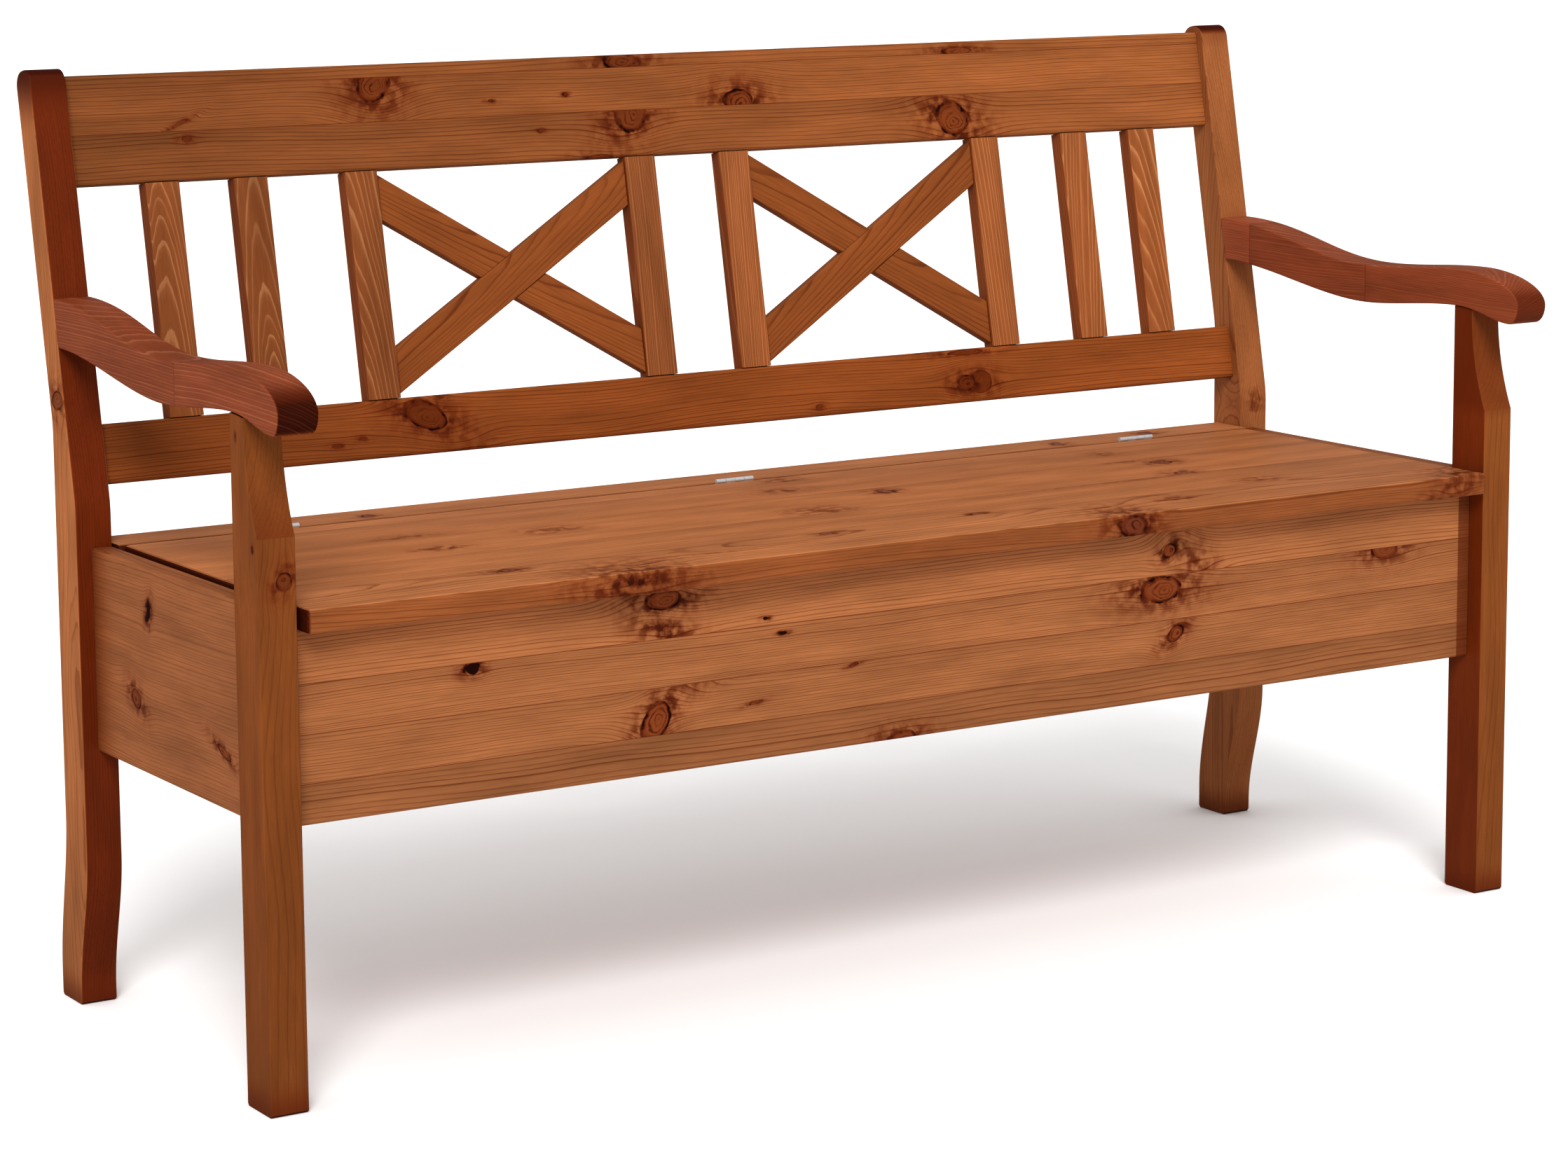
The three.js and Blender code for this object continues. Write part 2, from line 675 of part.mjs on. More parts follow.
const lidBattenLength = lidRear - insideFront - 2 * lidBattenSetback;
lidBattenPlaceShares.forEach((share, i) => {
  const batten = boardAlongY(lidBattenThickness, lidBattenWidth, lidBattenLength, legArris);
  const x = share * lidHalfLength;
  const y = (insideFront + lidRear) / 2;
  const z = lidBottom - fit - lidBattenThickness / 2;
  place(bench, `lid_batten_${i + 1}`, batten, pineMiddle, x, y, z);
});

["left", "middle", "right"].forEach((word, i) => {
  const x = hingeShift + (i - 1) * hingeSpacing;
  const pin = alongX(bar(pinRadius, hingeLength).rotateX(Math.PI / 2));
  place(bench, `${word}_hinge_fixed_leaf`, leaf(1), zinc, x, hingeLine, hingeHeight);
  place(bench, `${word}_hinge_moving_leaf`, leaf(-1), zinc, x, hingeLine, hingeHeight);
  place(bench, `${word}_hinge_pin`, pin, zinc, x, hingeLine, hingeHeight);
});

export default bench;
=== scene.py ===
import json
import math

import bmesh
import bpy
from mathutils import Matrix, Vector
from mathutils.geometry import interpolate_bezier

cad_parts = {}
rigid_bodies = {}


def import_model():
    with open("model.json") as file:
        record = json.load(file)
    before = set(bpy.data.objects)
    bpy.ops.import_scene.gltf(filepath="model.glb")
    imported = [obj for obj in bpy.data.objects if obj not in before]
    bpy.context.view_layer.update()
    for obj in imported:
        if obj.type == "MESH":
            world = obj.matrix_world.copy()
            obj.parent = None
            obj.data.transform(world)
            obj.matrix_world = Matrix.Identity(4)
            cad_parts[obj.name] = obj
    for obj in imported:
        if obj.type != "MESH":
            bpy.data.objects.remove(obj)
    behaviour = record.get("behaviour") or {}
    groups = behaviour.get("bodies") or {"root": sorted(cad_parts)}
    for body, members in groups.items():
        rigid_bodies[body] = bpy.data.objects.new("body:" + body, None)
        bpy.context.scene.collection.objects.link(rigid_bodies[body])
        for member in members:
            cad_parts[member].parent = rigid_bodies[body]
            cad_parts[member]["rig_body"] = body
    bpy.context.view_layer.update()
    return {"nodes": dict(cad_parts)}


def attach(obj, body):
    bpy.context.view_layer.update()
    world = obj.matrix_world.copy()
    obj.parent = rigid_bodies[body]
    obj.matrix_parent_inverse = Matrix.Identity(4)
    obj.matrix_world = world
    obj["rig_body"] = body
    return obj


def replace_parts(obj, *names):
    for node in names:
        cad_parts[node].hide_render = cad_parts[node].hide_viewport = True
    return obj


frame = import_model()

nodes = frame["nodes"]

MM = 0.001
PROFILE_START = -234.914  # where the front legs' front face stands in the bench's frame

# Sizes of the bench
HALF_LENGTH = 725
LEG_WIDTH = 37
LEG_DEPTH = 50
LEG_ARRIS = 1.8
FOOT_CHAMFER = 2.5
ARM_WIDTH = 39
ARM_ARRIS = 2
FIT = 0.3  # between two pieces
POST_SETBACK = 408
LEAN = math.radians(10.9)
LEAN_START = 495
BACK_SET = 10.3
BACK_THICKNESS = 18
LOWER_RAIL_RISE = 20.4
LOWER_RAIL_WIDTH = 58.2
TOP_RAIL_RISE = 308.5
TOP_RAIL_WIDTH = 107
SLAT_MIDDLE_RISE = 193.6
SLAT_PLACES = [-595.1, -500.9, -380.5, -57.4, 57.4, 380.5, 500.9, 595.1]
BRACE_MIDDLE = 218.95
BRACE_CLIMB = math.atan2(175.7, 286)
BRACE_BEHIND = 19.05
PANEL_MIDDLE = 345.85
SIDE_PANEL_X = 698
LID_MIDDLE = 446.5
HINGE_PLACES = (("left", -520), ("middle", 4), ("right", 528))
HINGE_LINE = 159.24
LEAF_HOLES = 449.25
SIDES = ((-1, "left"), (1, "right"))

LEAN_SIN = math.sin(LEAN)
LEAN_COS = math.cos(LEAN)

X_AXIS = Vector((1, 0, 0))
Y_AXIS = Vector((0, 1, 0))
Z_AXIS = Vector((0, 0, 1))
UP_THE_LEAN = Vector((0, LEAN_SIN, LEAN_COS))
INTO_THE_BACK = Vector((0, LEAN_COS, -LEAN_SIN))


def on_profile(y, z):
    """A place on a side profile, in the bench's frame."""
    return Vector((0, y + PROFILE_START, z))


def on_lean(behind, rise):
    """A place on the leaning back, measured behind the posts' front faces and up along them."""
    return on_profile(POST_SETBACK, LEAN_START) + behind * INTO_THE_BACK + rise * UP_THE_LEAN


# Nodes

SEED_SHIFT = (977, 331, 173)  # from one board's patch of noise to the next one's
NOISE_MIDDLE = (0.5, 0.5, 0.5)

# Sizes of the wood's patterns in mm: along the grain, and twice across it
TREE_BENDS = (380, 240, 240)
RING_WAVES = (75, 12, 12)
FIBRES = (30, 0.9, 0.9)  # drawn coarser than real ones, as fine as the render shows
STAIN_CLOUDS = (150, 26, 26)
SEAM_FADE = 22.0  # how far below a seam its stave is darker
SEAM_LINE = (0.1, 0.6)  # a seam's line is full up to the first distance and gone at the second
CRYSTALS = 700.0  # to a metre: zinc crystals of some 1.4 mm


def linear(hex_colour):
    """An sRGB hex colour as linear RGBA."""
    channels = [int(hex_colour[i:i + 2], 16) / 255 for i in (1, 3, 5)]
    return (*(c / 12.92 if c <= 0.04045 else ((c + 0.055) / 1.055) ** 2.4 for c in channels), 1)


def add(tree, kind, settings=None, inputs=None):
    """Adds a node with its settings, sets or links its inputs, and returns its outputs."""
    node = tree.nodes.new(kind)
    for name, value in (settings or {}).items():
        if name == "stops":
            ramp = node.color_ramp.elements
            while len(ramp) < len(value):
                ramp.new(1)
            for stop, (position, tone) in zip(ramp, value):
                stop.position = position
                stop.color = (tone, tone, tone, 1)
        else:
            setattr(node, name, value)
    for name, value in (inputs or {}).items():
        if isinstance(value, bpy.types.NodeSocket):
            tree.links.new(value, node.inputs[name])
        else:
            node.inputs[name].default_value = value
    return node.outputs


def scale_of(sizes):
    """The scale that draws a pattern with patches of these sizes."""
    return [1 / size for size in sizes]


def new_material(name):
    """A material without nodes, and its tree."""
    material = bpy.data.materials.new(name)
    material.use_nodes = True
    material.node_tree.nodes.clear()
    return material, material.node_tree


def new_group(name, takes, gives):
    """A node group with its sockets, and what stands at its two ends."""
    tree = bpy.data.node_groups.new(name, "ShaderNodeTree")
    kinds = {"V": "NodeSocketVector", "F": "NodeSocketFloat"}
    for label, kind in takes:
        tree.interface.new_socket(label, in_out="INPUT", socket_type=kinds[kind])
    for label, kind in gives:
        tree.interface.new_socket(label, in_out="OUTPUT", socket_type=kinds[kind])
    return tree, add(tree, "NodeGroupInput"), tree.nodes.new("NodeGroupOutput").inputs


def make_seam_group():
    """A glued seam between two staves: it counts the stave, changes its tone and draws a thin line.
    The stave below it starts darker at the seam: painted shade under each seam."""
    tree, given, result = new_group(
        "glued_seam",
        [("Across", "F"), ("At", "F"), ("Stave", "F"), ("Line", "F"), ("Tone", "F"), ("Change", "F")],
        [("Stave", "F"), ("Line", "F"), ("Tone", "F")],
    )
    past = add(
        tree, "ShaderNodeMath", {"operation": "GREATER_THAN"}, {0: given["Across"], 1: given["At"]}
    )[0]
    count = add(tree, "ShaderNodeMath", {"operation": "ADD"}, {0: given["Stave"], 1: past})[0]
    stepped = add(
        tree, "ShaderNodeMath", {"operation": "MULTIPLY_ADD"},
        {0: past, 1: given["Change"], 2: given["Tone"]},
    )[0]
    off = add(tree, "ShaderNodeMath", {"operation": "SUBTRACT"}, {0: given["Across"], 1: given["At"]})[0]
    # Painted shade: the stave below the seam darkens towards it
    below = add(
        tree, "ShaderNodeMapRange", {},
        {"Value": off, "From Min": -SEAM_FADE, "From Max": 0.0, "To Min": 1.0, "To Max": 0.9},
    )[0]
    darker = add(tree, "ShaderNodeMix", {"data_type": "FLOAT"}, {0: past, 2: below, 3: 1.0})
    tone = add(tree, "ShaderNodeMath", {"operation": "MULTIPLY"}, {0: stepped, 1: darker[0]})[0]
    gap = add(tree, "ShaderNodeMath", {"operation": "ABSOLUTE"}, {0: off})[0]
    near = add(
        tree, "ShaderNodeMapRange", {"interpolation_type": "SMOOTHSTEP"},
        {"Value": gap, "From Min": SEAM_LINE[0], "From Max": SEAM_LINE[1], "To Min": 1.0, "To Max": 0.0},
    )[0]
    line = add(tree, "ShaderNodeMath", {"operation": "MAXIMUM"}, {0: given["Line"], 1: near})[0]
    for label, value in (("Stave", count), ("Line", line), ("Tone", tone)):
        tree.links.new(value, result[label])
    return tree


def make_knot_group():
    """A knot: it parts the grain round itself, and adds its own rings, dark rim and stained halo."""
    tree, given, result = new_group(
        "knot",
        [("Place", "V"), ("Wobble", "V"), ("Cover", "F"), ("Shade", "F"), ("Middle", "V"), ("Turn", "V"),
         ("Size", "V"), ("Push", "V"), ("Rings", "F"), ("Depth", "F"), ("Fill", "F"), ("Body", "F"),
         ("Stave", "F"), ("Own Stave", "F")],
        [("Place", "V"), ("Cover", "F"), ("Shade", "F")],
    )
    here = add(
        tree, "ShaderNodeMath", {"operation": "COMPARE"},
        {0: given["Stave"], 1: given["Own Stave"], 2: 0.4},
    )[0]
    local = add(
        tree,
        "ShaderNodeMapping",
        {"vector_type": "TEXTURE"},
        {"Vector": given["Place"], "Location": given["Middle"], "Rotation": given["Turn"],
         "Scale": given["Size"]},
    )
    ragged = add(
        tree, "ShaderNodeVectorMath", {"operation": "MULTIPLY_ADD"},
        {0: given["Wobble"], 1: (0.5, 0.5, 0.5), 2: local[0]},
    )[0]
    distance = add(tree, "ShaderNodeVectorMath", {"operation": "LENGTH"}, {0: ragged})["Value"]

    # The grain flows round the knot: nearer lines are pushed out further
    wide = add(
        tree, "ShaderNodeVectorMath", {"operation": "MULTIPLY"}, {0: local[0], 1: (0.36, 0.5, 0.5)}
    )[0]
    spread = add(tree, "ShaderNodeVectorMath", {"operation": "DOT_PRODUCT"}, {0: wide, 1: wide})["Value"]
    minus = add(tree, "ShaderNodeMath", {"operation": "MULTIPLY"}, {0: spread, 1: -1.0})[0]
    fading = add(tree, "ShaderNodeMath", {"operation": "EXPONENT"}, {0: minus})[0]
    strength = add(tree, "ShaderNodeMath", {"operation": "MULTIPLY"}, {0: fading, 1: here})[0]
    away = add(
        tree, "ShaderNodeVectorMath", {"operation": "SUBTRACT"}, {0: given["Place"], 1: given["Middle"]}
    )[0]
    pushed = add(tree, "ShaderNodeVectorMath", {"operation": "MULTIPLY"}, {0: away, 1: given["Push"]})[0]
    shift = add(tree, "ShaderNodeVectorMath", {"operation": "SCALE"}, {0: pushed, "Scale": strength})[0]
    place = add(
        tree, "ShaderNodeVectorMath", {"operation": "SUBTRACT"}, {0: given["Place"], 1: shift}
    )[0]
    tree.links.new(place, result["Place"])

    inside = add(
        tree, "ShaderNodeMapRange", {"interpolation_type": "SMOOTHSTEP"},
        {"Value": distance, "From Min": 1.0, "From Max": 1.12, "To Min": 1.0, "To Max": 0.0},
    )[0]
    inside = add(tree, "ShaderNodeMath", {"operation": "MULTIPLY"}, {0: inside, 1: given["Body"]})[0]
    own = add(tree, "ShaderNodeMath", {"operation": "MULTIPLY"}, {0: inside, 1: here})[0]
    cover = add(tree, "ShaderNodeMath", {"operation": "MAXIMUM"}, {0: given["Cover"], 1: own})[0]
    tree.links.new(cover, result["Cover"])

    # The knot's own rings stand off its middle, but follow its rim
    inward = add(tree, "ShaderNodeMath", {"operation": "SUBTRACT"}, {0: 1.0, 1: distance})[0]
    off_middle = add(
        tree, "ShaderNodeVectorMath", {"operation": "SCALE"}, {0: (0.3, -0.2, 0.2), "Scale": inward}
    )[0]
    from_eye = add(
        tree, "ShaderNodeVectorMath", {"operation": "SUBTRACT"}, {0: ragged, 1: off_middle}
    )[0]
    eye = add(tree, "ShaderNodeVectorMath", {"operation": "LENGTH"}, {0: from_eye})["Value"]
    turns = add(tree, "ShaderNodeMath", {"operation": "MULTIPLY"}, {0: eye, 1: given["Rings"]})[0]
    wave = add(tree, "ShaderNodeMath", {"operation": "PINGPONG"}, {0: turns, 1: 0.5})[0]
    ring_line = add(
        tree, "ShaderNodeMapRange", {"interpolation_type": "SMOOTHSTEP"},
        {"Value": wave, "From Min": 0.2, "From Max": 0.44, "To Min": 0.0, "To Max": 0.7},
    )[0]
    half_distance = add(tree, "ShaderNodeMath", {"operation": "MULTIPLY"}, {0: eye, 1: 0.5})[0]
    rim = add(
        tree,
        "ShaderNodeValToRGB",
        {"stops": [(0.0, 1.0), (0.05, 0.85), (0.09, 0.12), (0.36, 0.1), (0.42, 0.55), (0.46, 1.0),
                   (0.53, 1.0), (0.6, 0.4)]},
        {"Fac": half_distance},
    )
    blot = add(tree, "ShaderNodeSeparateXYZ", {}, {0: given["Wobble"]})
    patchy = add(
        tree, "ShaderNodeMapRange", {},
        {"Value": blot["Y"], "From Min": -0.16, "From Max": 0.16, "To Min": 0.42, "To Max": 1.15},
    )[0]
    both = add(tree, "ShaderNodeMath", {"operation": "MAXIMUM"}, {0: ring_line, 1: rim[0]})[0]
    drawn = add(tree, "ShaderNodeMath", {"operation": "MULTIPLY"}, {0: both, 1: patchy})[0]
    inner = add(tree, "ShaderNodeMath", {"operation": "MAXIMUM"}, {0: drawn, 1: given["Fill"]})[0]
    outer_fade = add(tree, "ShaderNodeMath", {"operation": "MULTIPLY"}, {0: minus, 1: 1.35})[0]
    outer = add(tree, "ShaderNodeMath", {"operation": "EXPONENT"}, {0: outer_fade})[0]
    clouds = add(
        tree, "ShaderNodeMapRange", {},
        {"Value": blot["X"], "From Min": -0.12, "From Max": 0.1, "To Min": 0.15, "To Max": 1.0},
    )[0]
    cloudy = add(tree, "ShaderNodeMath", {"operation": "MULTIPLY"}, {0: outer, 1: clouds})[0]
    stained = add(tree, "ShaderNodeMix", {"data_type": "FLOAT"}, {0: inside, 2: cloudy, 3: inner})
    deep = add(tree, "ShaderNodeMath", {"operation": "MULTIPLY"}, {0: stained[0], 1: given["Depth"]})[0]
    local_shade = add(tree, "ShaderNodeMath", {"operation": "MULTIPLY"}, {0: deep, 1: here})[0]
    shade = add(tree, "ShaderNodeMath", {"operation": "MAXIMUM"}, {0: given["Shade"], 1: local_shade})[0]
    tree.links.new(shade, result["Shade"])
    return tree


def make_growth_group():
    """The growth rings of a tree, met where the saw passed: lines along a board, arcs on its end."""
    tree, given, result = new_group(
        "growth_rings",
        [("Place", "V"), ("Pith", "V"), ("Taper", "F"), ("Ring Width", "F"), ("Wander", "F"),
         ("Seed", "F")],
        [("Line", "F"), ("Fibre", "F"), ("Cloud", "F")],
    )
    start = add(
        tree, "ShaderNodeVectorMath", {"operation": "SCALE"}, {0: SEED_SHIFT, "Scale": given["Seed"]}
    )[0]
    spot = add(tree, "ShaderNodeVectorMath", {"operation": "ADD"}, {0: given["Place"], 1: start})[0]

    slow = add(
        tree, "ShaderNodeVectorMath", {"operation": "MULTIPLY"}, {0: spot, 1: scale_of(TREE_BENDS)}
    )[0]
    bends = add(tree, "ShaderNodeTexNoise", {}, {"Vector": slow, "Scale": 1.0, "Detail": 1.0})
    centred = add(
        tree, "ShaderNodeVectorMath", {"operation": "SUBTRACT"}, {0: bends["Color"], 1: NOISE_MIDDLE}
    )[0]
    drift = add(
        tree, "ShaderNodeVectorMath", {"operation": "SCALE"}, {0: centred, "Scale": given["Wander"]}
    )[0]
    from_pith = add(
        tree, "ShaderNodeVectorMath", {"operation": "SUBTRACT"}, {0: given["Place"], 1: given["Pith"]}
    )[0]
    drifted = add(tree, "ShaderNodeVectorMath", {"operation": "ADD"}, {0: from_pith, 1: drift})[0]
    parts = add(tree, "ShaderNodeSeparateXYZ", {}, {0: drifted})
    tapered = add(
        tree, "ShaderNodeMath", {"operation": "MULTIPLY_ADD"},
        {0: parts["X"], 1: given["Taper"], 2: parts["Z"]},
    )[0]
    across = add(tree, "ShaderNodeCombineXYZ", {}, {"Y": parts["Y"], "Z": tapered})
    radius = add(tree, "ShaderNodeVectorMath", {"operation": "LENGTH"}, {0: across[0]})["Value"]

    waves = add(
        tree, "ShaderNodeVectorMath", {"operation": "MULTIPLY"}, {0: spot, 1: scale_of(RING_WAVES)}
    )[0]
    wavy = add(tree, "ShaderNodeTexNoise", {}, {"Vector": waves, "Scale": 1.0, "Detail": 2.0})
    waved = add(
        tree, "ShaderNodeMath", {"operation": "MULTIPLY_ADD"}, {0: wavy[0], 1: 1.6, 2: radius}
    )[0]
    years = add(tree, "ShaderNodeMath", {"operation": "DIVIDE"}, {0: waved, 1: given["Ring Width"]})[0]
    era = add(
        tree, "ShaderNodeMath", {"operation": "MULTIPLY_ADD"}, {0: years, 1: 0.22, 2: given["Seed"]}
    )[0]
    weather = add(
        tree, "ShaderNodeTexNoise", {"noise_dimensions": "1D"}, {"W": era, "Scale": 1.0, "Detail": 1.0}
    )
    aged = add(
        tree, "ShaderNodeMath", {"operation": "MULTIPLY_ADD"}, {0: weather[0], 1: 2.4, 2: years}
    )[0]
    part_of_year = add(tree, "ShaderNodeMath", {"operation": "FRACT"}, {0: aged})[0]
    year = add(tree, "ShaderNodeMath", {"operation": "FLOOR"}, {0: aged})[0]
    own_year = add(
        tree, "ShaderNodeMath", {"operation": "MULTIPLY_ADD"}, {0: given["Seed"], 1: 17.3, 2: year}
    )[0]
    harvest = add(tree, "ShaderNodeTexWhiteNoise", {"noise_dimensions": "1D"}, {"W": own_year})
    late = add(
        tree,
        "ShaderNodeValToRGB",
        {"stops": [(0.0, 0.3), (0.04, 0.0), (0.55, 0.02), (0.78, 0.25), (0.87, 0.9), (0.95, 1.0)]},
        {"Fac": part_of_year},
    )
    keen = add(
        tree, "ShaderNodeMath", {"operation": "MULTIPLY_ADD"}, {0: harvest[0], 1: 0.55, 2: 0.45}
    )[0]
    line = add(tree, "ShaderNodeMath", {"operation": "MULTIPLY"}, {0: late[0], 1: keen})[0]
    tree.links.new(line, result["Line"])

    fine = add(
        tree, "ShaderNodeVectorMath", {"operation": "MULTIPLY"}, {0: spot, 1: scale_of(FIBRES)}
    )[0]
    fibre = add(
        tree, "ShaderNodeTexNoise", {}, {"Vector": fine, "Scale": 1.0, "Detail": 2.0, "Roughness": 0.6}
    )
    tree.links.new(fibre[0], result["Fibre"])
    broad = add(
        tree, "ShaderNodeVectorMath", {"operation": "MULTIPLY"}, {0: spot, 1: scale_of(STAIN_CLOUDS)}
    )[0]
    cloud = add(
        tree, "ShaderNodeTexNoise", {}, {"Vector": broad, "Scale": 1.0, "Detail": 3.0, "Roughness": 0.55}
    )
    tree.links.new(cloud[0], result["Cloud"])
    return tree


CHESTNUT_STAIN_AND_SHADE = "#6e2c0c"
STAVE_SHIFT = (1500, 120, 50)  # staves are cut from places at most this far apart in the tree
WOBBLE_SCALE = 0.09  # a knot's rim wavers over some 11 mm
LEAST_CORE = 0.65  # knots no deeper than this have no core
LEAST_FILL = 0.85  # deeper ones are filled with stain
THROUGH = 999  # half the depth of a knot that runs through the board
EDGE_KNOT = 34  # and of one on its edge

SEAM_GROUP = make_seam_group()
KNOT_GROUP = make_knot_group()
GROWTH_GROUP = make_growth_group()


def stained_pine(name, centre, along, across, seed, look, pith=(0, -60), ring=3.2, taper=0.02, wander=30,
                 seams=(), knots=(), tone=1.0, run=None, soaked_and_shaded=(), face=None, ends=0.9):
    """Sawn Scots pine, wiped with a reddish chestnut stain and sprayed with satin lacquer. The stain
    sinks deep into end grain and round knots, which turn nearly black, and leaves the lines sharp.

    Along is the way of the grain, across the way of the board's width. Places are in mm from the
    board's centre. Pith is where the tree's middle lay, and taper, ring and wander shape its rings.
    Seams are (place, tone after it), and a third value marks one that crosses the board, end to end.
    Knots are (x, y, radius x, radius y, slant in degrees, stave, depth), and one on the board's edge
    has its z in an eighth place. A shallow or negative depth gives a stain without a core.
    Run is the tone from one end of the board to the other. Soaked_and_shaded spans turn darker along the
    board:
    where stain crept in from an end, and a painted shadow at the front panel's right end. Face is a side
    with its
    own tint: more stain on the left arm's nose, painted light on the left leg's left side and painted
    shade on the other pieces. Ends is how much the end grain took."""
    ground, line, dark, core, contrast = look
    base_tone = tone
    material, tree = new_material(name)
    spot = add(tree, "ShaderNodeTexCoord")
    turn = Matrix((along, across, along.cross(across))).transposed().to_euler()
    place = add(
        tree,
        "ShaderNodeMapping",
        {"vector_type": "TEXTURE"},
        {"Vector": spot["Object"], "Location": centre * MM, "Rotation": turn, "Scale": (MM, MM, MM)},
    )[0]
    spread = add(tree, "ShaderNodeSeparateXYZ", {}, {0: place})
    stave, seam_line, before = 0.0, 0.0, tone
    for at, after, *way in seams:
        seam = add(
            tree,
            "ShaderNodeGroup",
            {"node_tree": SEAM_GROUP},
            {"Across": spread["X" if way else "Y"], "At": float(at), "Stave": stave, "Line": seam_line,
             "Tone": tone, "Change": after - before},
        )
        stave, seam_line, tone, before = seam["Stave"], seam["Line"], seam["Tone"], after
    cover, shade = 0.0, 0.0
    if knots:
        rough = add(
            tree, "ShaderNodeTexNoise", {}, {"Vector": place, "Scale": WOBBLE_SCALE, "Detail": 3.0}
        )
        wobble = add(
            tree, "ShaderNodeVectorMath", {"operation": "SUBTRACT"}, {0: rough["Color"], 1: NOISE_MIDDLE}
        )[0]
    for x, y, wide, high, slant, own, depth, *level in knots:
        slant = math.radians(slant)
        knot = add(
            tree,
            "ShaderNodeGroup",
            {"node_tree": KNOT_GROUP},
            {"Place": place, "Wobble": wobble, "Cover": cover, "Shade": shade,
             "Middle": (x, y, level[0] if level else 0),
             "Turn": (0, -slant, 0) if level else (0, 0, slant),
             "Size": (wide, EDGE_KNOT, high) if level else (wide, high, THROUGH),
             "Push": (0, 0, 0.8) if level else (0, 0.8, 0), "Rings": max(1.6, (wide + high) / 8.5),
             "Depth": float(abs(depth)), "Fill": max(0.0, depth - LEAST_FILL),
             "Body": 1.0 if depth > LEAST_CORE else 0.0, "Stave": stave, "Own Stave": float(own)},
        )
        place, cover, shade = knot["Place"], knot["Cover"], knot["Shade"]
    width = ring
    if seams:
        lot = add(tree, "ShaderNodeMath", {"operation": "ADD"}, {0: stave, 1: seed * 3.7})[0]
        chance = add(tree, "ShaderNodeTexWhiteNoise", {"noise_dimensions": "1D"}, {"W": lot})
        place = add(
            tree, "ShaderNodeVectorMath", {"operation": "MULTIPLY_ADD"},
            {0: chance["Color"], 1: STAVE_SHIFT, 2: place},
        )[0]
        width = add(
            tree, "ShaderNodeMapRange", {},
            {"Value": chance["Value"], "To Min": 0.7 * ring, "To Max": 1.3 * ring},
        )[0]
    growth = add(
        tree,
        "ShaderNodeGroup",
        {"node_tree": GROWTH_GROUP},
        {"Place": place, "Pith": (0, *pith), "Taper": taper, "Ring Width": width,
         "Wander": float(wander), "Seed": float(seed)},
    )
    near_knot = add(
        tree, "ShaderNodeMath", {"operation": "MULTIPLY_ADD"}, {0: shade, 1: 0.9, 2: contrast}
    )[0]
    drawn = add(tree, "ShaderNodeMath", {"operation": "MULTIPLY"}, {0: growth["Line"], 1: near_knot})[0]
    colour = add(
        tree, "ShaderNodeMix", {"data_type": "RGBA"}, {0: drawn, 6: linear(ground), 7: linear(line)}
    )[2]
    colour = add(tree, "ShaderNodeMix", {"data_type": "RGBA"}, {0: cover, 6: colour, 7: linear(core)})[2]
    colour = add(tree, "ShaderNodeVectorMath", {"operation": "SCALE"}, {0: colour, "Scale": tone})[0]

    # A face given its own tint keeps its lines: the tint lies over them. On the left arm's nose it is
    # more stain; on the left leg's left side it is painted light, and on the other pieces that use it
    # painted shade
    if face:
        side, amount, face_stain_and_light_colour = face
        turned = add(
            tree, "ShaderNodeVectorMath", {"operation": "DOT_PRODUCT"}, {0: spot["Normal"], 1: side}
        )["Value"]
        face_stain_and_light = add(
            tree, "ShaderNodeMapRange", {"interpolation_type": "SMOOTHSTEP"},
            {"Value": turned, "From Min": 0.6, "From Max": 0.95, "To Min": 0.0, "To Max": amount},
        )[0]
        face_stain_and_light_tint = [there / here / base_tone for there, here in zip(linear(face_stain_and_light_colour), linear(ground))]
        face_stain_and_light_tint = add(
            tree, "ShaderNodeMix", {"data_type": "RGBA"}, {0: face_stain_and_light, 6: (1, 1, 1, 1), 7: (*face_stain_and_light_tint[:3], 1)}
        )[2]
        colour = add(tree, "ShaderNodeVectorMath", {"operation": "MULTIPLY"}, {0: colour, 1: face_stain_and_light_tint})[0]

    # Cloudy stain and fibres change the brightness
    cloudy = add(
        tree, "ShaderNodeMapRange", {"clamp": False},
        {"Value": growth["Cloud"], "From Min": 0.25, "From Max": 0.75, "To Min": 0.8, "To Max": 1.18},
    )[0]
    fibrous = add(
        tree, "ShaderNodeMapRange", {"clamp": False},
        {"Value": growth["Fibre"], "From Min": 0.25, "From Max": 0.75, "To Min": 0.86, "To Max": 1.12},
    )[0]
    brightness = add(tree, "ShaderNodeMath", {"operation": "MULTIPLY"}, {0: cloudy, 1: fibrous})[0]
    if run:
        start, end, first, last = run
        along_run = add(
            tree, "ShaderNodeMapRange", {},
            {"Value": spread["X"], "From Min": start, "From Max": end, "To Min": first, "To Max": last},
        )[0]
        brightness = add(
            tree, "ShaderNodeMath", {"operation": "MULTIPLY"}, {0: brightness, 1: along_run}
        )[0]
    colour = add(
        tree, "ShaderNodeVectorMath", {"operation": "SCALE"}, {0: colour, "Scale": brightness}
    )[0]

